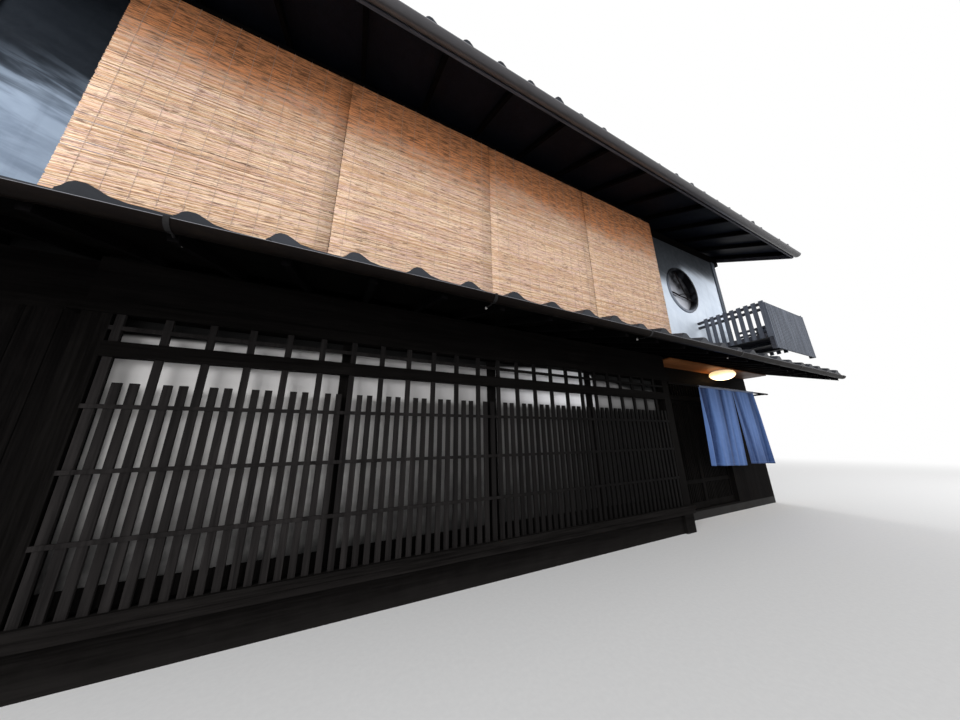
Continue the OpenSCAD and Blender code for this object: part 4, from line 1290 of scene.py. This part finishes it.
@dataclass(frozen=True)
class ClothCut:
    """Outline and folds of one hanging cloth.

    Its top and hem each run from one X to another, and the hem's height is given at both ends. A fold is a
    share of the width and the way that the cloth stands behind the rod there, at the hem. The cloth's foot
    lies in the shade by the share dim.
    """

    name: str
    top: tuple[float, float]
    hem: tuple[float, float]
    hem_z: tuple[float, float]
    # Share by which the cloth's foot is painted darker, as shade.
    dim: float
    folds: tuple[tuple[float, float], ...]


def between(ends: tuple[float, float], share: float) -> float:
    """Number at a share of the way from one end to the other."""
    return ends[0] + (ends[1] - ends[0]) * share


@dataclass
class SplitCurtain(Builder):
    """Two indigo cloths that hang from the rod in front of the entrance, sewn together above their slit."""

    across: int = 84
    down: int = 60
    frames: int = 24
    reach: float = 0.014
    thickness: float = 0.0016
    fullness: float = 1.02
    sleeve_steps: int = 40
    pleat: float = 0.004
    pleats: float = 7.0
    crown_depth: float = 0.030
    CUTS = (
        ClothCut("curtain_left", (3.070, 4.199), (2.940, 4.073), (0.850, 0.807), 0.25, (
            (0.0, -0.010), (0.07, -0.014), (0.19, 0.025), (0.24, 0.022), (0.36, -0.018), (0.46, -0.012),
            (0.56, 0.000), (0.66, 0.015), (0.75, -0.012), (0.80, -0.004), (0.88, -0.021), (1.0, 0.004))),
        ClothCut("curtain_right", (4.201, 5.010), (4.263, 5.140), (0.829, 0.795), 0.80, (
            (0.0, 0.006), (0.09, -0.008), (0.20, 0.012), (0.34, -0.014), (0.47, -0.019), (0.62, -0.012),
            (0.79, 0.010), (0.89, 0.012), (1.0, -0.008))),
    )
    SETTINGS = {"quality": 6, "mass": 0.25, "tension_stiffness": 40.0, "compression_stiffness": 40.0,
                "shear_stiffness": 20.0, "bending_stiffness": 1.5, "vertex_group_mass": "held"}

    @staticmethod
    def fold(cut: ClothCut, across: float, down: float) -> float:
        """Depth of a cloth's folds at shares of its width and drop; near the rod they lean to the left."""
        share = min(1.0, across + 0.16 * max(0.0, 0.55 - down) * (1.0 - across))
        for (u0, d0), (u1, d1) in zip(cut.folds, cut.folds[1:]):
            if share <= u1:
                t = (share - u0) / (u1 - u0)
                return d0 + (d1 - d0) * t * t * (3 - 2 * t)
        return cut.folds[-1][1]

    def cloth(self, cut: ClothCut, top_z: float, y: float) -> bpy.types.Object:
        """One cloth with its first folds, before gravity acts on it.

        Args:
            cut: Its outline and folds.
            top_z: Height of its upper edge.
            y: Place of the rod.

        Returns:
            The cloth, with a UV map in metres of the flat cut.
        """
        rows = []
        for i in range(self.down + 1):
            share = i / self.down
            x0, x1 = (between(ends, share) for ends in zip(cut.top, cut.hem))
            row = []
            for j in range(self.across + 1):
                u = j / self.across
                pleat = self.pleat * math.sin(math.tau * self.pleats * u) * (1.0 - share) ** 2
                depth = self.fold(cut, u, share) * (0.45 + 0.70 * share ** 0.8) + pleat
                z = between((top_z, between(cut.hem_z, u)), share)
                row.append(Vector((between((x0, x1), u), y + depth, z)))
            rows.append(row)
        mesh = Draft().grid(rows, closed=False).mesh(cut.name, outwards=False)
        lengths = [sum((b - a).length for a, b in zip(row, row[1:])) for row in rows]
        flat = mesh.uv_layers.new(name="flat")
        for loop in mesh.loops:
            i, j = divmod(loop.vertex_index, self.across + 1)
            flat.data[loop.index].uv = (lengths[i] * j / self.across,
                                        (top_z - min(cut.hem_z)) * (1 - i / self.down))
        made = linked(cut.name + "_draft", mesh)
        made.vertex_groups.new(name="held").add(range(self.across + 1), 1.0, "REPLACE")
        return made

    def faded(self, cut: ClothCut, index: int) -> float:
        """How much a point of a cloth is painted paler: painted light on the crowns of the folds, painted shade at its
        foot.
        """
        i, j = divmod(index, self.across + 1)
        down = i / self.down
        crown = min(1.0, max(0.0, 0.58 - self.fold(cut, j / self.across, down) / self.crown_depth))
        return crown * (1.0 - cut.dim * down ** 2)

    def hang(self, cloth: bpy.types.Object) -> bpy.types.Mesh:
        """Lets gravity draw the folds, and returns the settled mesh.

        Args:
            cloth: The cloth with its first folds.

        Returns:
            The mesh at the end of the simulation, with no point further than the reach from its start.
        """
        scene = bpy.context.scene
        mesh = cloth.data.copy()
        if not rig.quick():
            modifier = cloth.modifiers.new("hanging", "CLOTH")
            for name, value in self.SETTINGS.items():
                setattr(modifier.settings, name, value)
            modifier.collision_settings.use_collision = False
            modifier.point_cache.frame_start = 1
            modifier.point_cache.frame_end = self.frames
            for frame in range(1, self.frames + 1):
                scene.frame_set(frame)
            settled = cloth.evaluated_get(bpy.context.evaluated_depsgraph_get()).data
            for vertex, hung in zip(mesh.vertices, settled.vertices):
                way = hung.co - vertex.co
                if way.length > self.reach:
                    way *= self.reach / way.length
                vertex.co += way
            scene.frame_set(1)
        bpy.data.objects.remove(cloth)
        return mesh

    def sleeve(self, cut: ClothCut, middle: Vector, radius: float) -> bpy.types.Mesh:
        """Mesh of the cloth's top, turned over the rod and sewn to its back.

        Args:
            cut: The cloth.
            middle: Middle of the rod.
            radius: Radius of the rod.

        Returns:
            The mesh.
        """
        rows = []
        for i in range(self.sleeve_steps + 1):
            x = between(cut.top, i / self.sleeve_steps)
            slack = 0.0022 + 0.0012 * math.sin(19.0 * x) + 0.0008 * math.sin(53.0 * x)
            ring = []
            for r, turns in ((radius + slack, range(17)),
                             (radius + slack + self.thickness, range(16, -1, -1))):
                for a in (math.radians(-80.0 + 340.0 * k / 16) for k in turns):
                    ring.append(Vector((x, middle.y + r * math.cos(a), middle.z + r * math.sin(a))))
            rows.append(ring)
        return Draft().grid(rows).mesh(cut.name + "_sleeve", smooth=True)

    def build(self) -> None:
        """Makes the two cloths and the sleeve that each hangs by."""
        low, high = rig.box("noren")
        rod_low, rod_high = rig.box("noren_rod")
        y = (low.y + high.y) / 2
        rod = Vector((0.0, y, (rod_low.z + rod_high.z) / 2))
        radius = (rod_high.z - rod_low.z) / 2
        for cut in self.CUTS:
            mesh = self.hang(self.cloth(cut, high.z, y))
            # Painted light on the fold crowns and painted shade at the foot, carried by the mesh for its colour.
            crown = mesh.attributes.new("crown", "FLOAT", "POINT")
            crown.data.foreach_set("value", [self.faded(cut, v.index) for v in mesh.vertices])
            reworked(mesh, lambda work: bmesh.ops.solidify(
                work, geom=work.faces[:], thickness=self.thickness))
            mesh.polygons.foreach_set("use_smooth", [True] * len(mesh.polygons))
            spans = (cut.hem[1] - cut.hem[0], cut.top[1] - cut.top[0])
            drop = high.z - sum(cut.hem_z) / 2
            made = self.piece(cut.name, mesh, "cloth", "indigo_cloth", replaces=["noren"])
            sleeve = self.piece(cut.name + "_sleeve", self.sleeve(cut, rod, radius), "sleeve", "indigo_cloth")
            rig.sheet(made, flat=(max(spans) * self.fullness, drop), held="hung", rests_on=["noren_rod"],
                     area=sum(spans) / 2 * self.fullness * drop, with_pieces=[sleeve])


@dataclass
class Gutters(Builder):
    """Hangers of the gutters: bars inside the eave gutters, and straps with bolts round the pent gutter.

    BAR_END is a bar's outline at either rim: how far inside it, and how far below it. ARM is a strap's arm:
    how far behind the trough's middle and above it, in shares of the trough's radius, and the arm's radius.
    BOLT is the bolt's outline: how far above the arm's end, and its radius.
    """

    wide: float = 0.024
    metal: float = 0.003
    slack: float = 0.0005
    bar_spacing: float = 0.9
    strap_first: float = -5.29
    strap_spacing: float = 1.85
    straps: int = 7
    BAR_END = ((0.004, 0.014), (0.004, 0.005), (0.013, 0.002))
    ARM = ((0.55, -0.84, 0.006), (1.0, -0.95, 0.006), (1.9, -0.80, 0.0055), (2.6, -0.62, 0.005))
    BOLT = ((-0.016, 0.006), (-0.013, 0.0095), (-0.002, 0.0095), (0.006, 0.005))

    def bar(self, low: Vector, high: Vector) -> bpy.types.Mesh:
        """Mesh of a bar with rolled ends across the rims of a gutter, from low to high corner."""
        path = ([(low.y + y, drop) for y, drop in self.BAR_END]
                + [(high.y - y, drop) for y, drop in reversed(self.BAR_END)])
        return Draft().grid([[Vector((low.x + x, y, high.z - drop + z)) for x, z in (
            (0.0, 0.0), (self.wide, 0.0), (self.wide, -self.metal), (0.0, -self.metal))]
            for y, drop in path]).mesh("gutter_bar")

    def strap(self, middle: Vector, radius: float) -> bpy.types.Mesh:
        """Mesh of a strap that wraps a trough, with the arm that holds it to the rafters.

        Args:
            middle: Middle of the trough at the strap's left side.
            radius: Outer radius of the trough.

        Returns:
            The mesh.
        """
        inner = radius + self.slack
        outer = inner + self.metal
        draft = Draft().grid([[middle + Vector((x, r * math.cos(a), r * math.sin(a))) for x, r in (
            (0.0, outer), (0.0, inner), (self.wide, inner), (self.wide, outer))]
            for a in (math.radians(176.0 + 190.0 * k / 16) for k in range(17))])
        arm = [middle + Vector((self.wide / 2, radius * y, radius * z)) for y, z, _ in self.ARM]
        return draft.rod(arm, [r for _, _, r in self.ARM]).mesh("gutter_strap")

    def bolt(self, middle: Vector, radius: float) -> bpy.types.Mesh:
        """Mesh of the bolt at the end of a strap's arm, from the same two measures."""
        y, z, _ = self.ARM[-1]
        place = middle + Vector((self.wide / 2, radius * y, radius * z))
        path = [place + up * UP for up, _ in self.BOLT]
        return Draft().rod(path, [r for _, r in self.BOLT], 6).mesh("gutter_bolt")

    def build(self) -> None:
        """Makes the hangers of each gutter."""
        low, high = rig.box("eave_gutters")
        deep = 2 * (high.z - low.z)
        count = int((high.x - low.x) / self.bar_spacing)
        x = low.x + (high.x - low.x - (count - 1) * self.bar_spacing) / 2
        for side, front in (("street", low.y), ("rear", high.y - deep)):
            bar = self.bar(Vector((x, front, low.z)), Vector((x, front + deep, high.z)))
            self.row(f"eave_hangers_{side}", bar, "hardware", "grey_gutter", count, self.bar_spacing)
        low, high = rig.box("pent_gutter")
        radius = high.z - low.z
        middle = Vector((self.strap_first, low.y + radius, high.z))
        for name, shape, finish in (("pent_hangers", self.strap(middle, radius), "hardware"),
                                    ("pent_bolts", self.bolt(middle, radius), "steel")):
            self.row(name, shape, finish, "dark_gutter", self.straps, self.strap_spacing)


@dataclass(frozen=True)
class Stem:
    """One branch: its turn, and its place, ends, thickness and bow as shares of the window's radius."""

    turn: float
    offset: float
    start: float
    end: float
    thickness: float
    bow: float


@dataclass
class RoundWindow(Builder):
    """Natural branches across the round window."""

    steps: int = 18
    wobble: float = 0.035
    knots: float = 0.22
    STEMS = (Stem(-6.0, -0.26, -1.0, 1.0, 0.030, 0.05), Stem(-38.0, -0.5, -1.0, -0.1, 0.020, -0.04),
             Stem(14.0, -0.18, -0.2, 1.0, 0.019, 0.05), Stem(-62.0, 0.42, -1.0, 0.62, 0.022, -0.06))

    def build(self) -> None:
        """Makes the branches, in place of the plain rods."""
        low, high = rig.box("round_window_branches")
        low_ring, high_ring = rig.box("round_window_ring")
        middle = (low_ring + high_ring) / 2
        middle.y = (low.y + high.y) / 2
        pane_low, pane_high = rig.box("round_window_pane")
        radius = (pane_high.z - pane_low.z) / 2
        draft = Draft()
        for k, stem in enumerate(self.STEMS):
            a = math.radians(stem.turn)
            ahead, side = Vector((math.cos(a), 0.0, math.sin(a))), Vector((-math.sin(a), 0.0, math.cos(a)))
            limit = math.sqrt(1.0 - stem.offset ** 2) - 0.012
            ends = max(stem.start, -limit), min(stem.end, limit)
            path, radii = [], []
            for t in (i / self.steps for i in range(self.steps + 1)):
                wobble = self.wobble * noise.noise(Vector((3.0 * t, 5.0 * k, 0.0))) * math.sin(math.pi * t)
                bow = stem.bow * 4 * t * (1 - t)
                path.append(middle + radius * (
                    ahead * between(ends, t) + side * (stem.offset + bow + wobble)))
                knot = 1.0 + self.knots * noise.noise(Vector((9.0 * t, k, 3.0)))
                radii.append(radius * stem.thickness * (1.08 - 0.35 * t) * knot)
            draft.rod(path, radii, 10)
        self.piece("window_branches", draft.mesh("branches", smooth=True), "branch", "branch_wood",
                   replaces=["round_window_branches"])


@dataclass
class Studio:
    """Floor, soft lamps, sky and camera."""

    camera_place: Triple = (-2.5661, -6.7669, 1.2997)
    heading: float = -26.137
    tilt: float = 15.650
    roll: float = -0.744
    lens: float = 10.713
    sensor: float = 36.0
    floor_size: float = 120.0
    WHITE = (1.0, 1.0, 1.0)
    LAMPS = (("key", (13.0, -13.0, 6.0), (1.0, -4.0, 2.8), 1450.0),
             ("fill", (-13.0, -13.0, 6.0), (-3.0, -4.0, 3.2), 2500.0),
             ("rear", (8.0, 16.0, 9.0), (0.0, 3.0, 3.0), 1800.0))
    LAMP_SIZE = 9.0

    def build(self) -> None:
        """Makes the whole studio: soft light from both ends of the street, weaker light from behind."""
        self.camera()
        for name, place, target, power in self.LAMPS:
            self.lamp(name, Vector(place), Vector(target), self.LAMP_SIZE, power, self.WHITE)
        self.entrance_lamp()
        self.floor()
        self.sky()
        bpy.context.scene.view_settings.view_transform = "Standard"

    def camera(self) -> None:
        """Camera at the photograph's place, turn and field of view."""
        data = bpy.data.cameras.new("camera")
        data.lens, data.sensor_width = self.lens, self.sensor
        data.clip_start, data.clip_end = 0.05, 300.0
        made = linked("camera", data)
        turn = Matrix.Identity(4)
        for angle, axis in ((self.heading, "Z"), (90.0 + self.tilt, "X"), (self.roll, "Z")):
            turn = turn @ Matrix.Rotation(math.radians(angle), 4, axis)
        made.matrix_world = Matrix.Translation(self.camera_place) @ turn
        bpy.context.scene.camera = made

    def lamp(self, name: str, place: Vector, target: Vector, size: float, power: float,
             colour: Colour) -> None:
        """Adds one soft square lamp.

        Args:
            name: Name of the lamp.
            place: Its middle.
            target: The point that it faces.
            size: Side of its square.
            power: Its power in watts.
            colour: Its colour.
        """
        data = bpy.data.lights.new(name, "AREA")
        data.size, data.energy, data.color = size, power, colour
        made = linked(name, data)
        made.visible_camera = made.visible_glossy = False
        turn = (target - place).to_track_quat("-Z", "Y").to_matrix().to_4x4()
        made.matrix_world = Matrix.Translation(place) @ turn

    def entrance_lamp(self) -> None:
        """Warm light of the entrance, just under the lamp and shining up on its ceiling."""
        low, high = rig.box("lamp_shade")
        under = (low + high) / 2
        under.z = low.z - 0.02
        self.lamp("entrance", under, under + UP, 0.45, 5.0, (1.0, 0.62, 0.30))

    def floor(self) -> None:
        """Pale floor that runs into a white background."""
        half = self.floor_size / 2
        corners = [[(x, y, 0.0) for x in (-half, half)] for y in (-half, half)]
        made = linked("studio_floor", Draft().grid(corners, closed=False).mesh("studio_floor"))
        work = Material("pale_floor")
        colour = work.blend(work.cloud(work.place, 30.0, 4.0), (0.66, 0.66, 0.665), (0.74, 0.74, 0.74))
        work.set(Base_Color=colour, Roughness=0.85, Specular_IOR_Level=0.2)
        path = work.values("ShaderNodeLightPath")
        seen = work.maths("MINIMUM", path["Is Camera Ray"] + path["Is Glossy Ray"], 1.0)
        white = work.value("ShaderNodeEmission", {"Color": self.WHITE, "Strength": 1.0})
        far = work.fit(work.from_axis(work.place), 9.0, 24.0) * seen
        work.feed(work.surface, work.value("ShaderNodeMixShader", {0: far, 1: work.lit, 2: white}))
        made.data.materials.append(work.material)
        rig.stage(made)

    def sky(self) -> None:
        """White background, and an even, weaker light on the house."""
        world = bpy.data.worlds.new("sky")
        world.use_nodes = True
        work = Tree(world.node_tree)
        work.tree.nodes.clear()
        path = work.values("ShaderNodeLightPath")
        seen = path["Is Camera Ray"] + (path["Is Glossy Ray"] + path["Is Transmission Ray"])
        strength = work.fit(seen, 0.0, 1.0, 0.55, 1.0)
        back = work.value("ShaderNodeBackground", {"Color": self.WHITE, "Strength": strength})
        work.node("ShaderNodeOutputWorld", {"Surface": back})
        bpy.context.scene.world = world


def main() -> None:
    logging.basicConfig(level=logging.INFO, format="%(message)s")
    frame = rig.load()
    cad_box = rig.bounds()
    Studio().build()
    make_effects()
    finishes = Finishes()
    finishes.dress(frame["nodes"])
    repeat = Repeat()
    for kind in (Roofs, ReedBlinds, SplitCurtain, Gutters, RoundWindow):
        kind(finishes, repeat).build()
    sizes = {"cad": [list(corner) for corner in cad_box], "visual": [list(corner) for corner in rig.bounds()]}
    with open(SIZE_FILE, "w") as file:
        json.dump(sizes, file, indent=1)


if __name__ == "__main__":
    main()
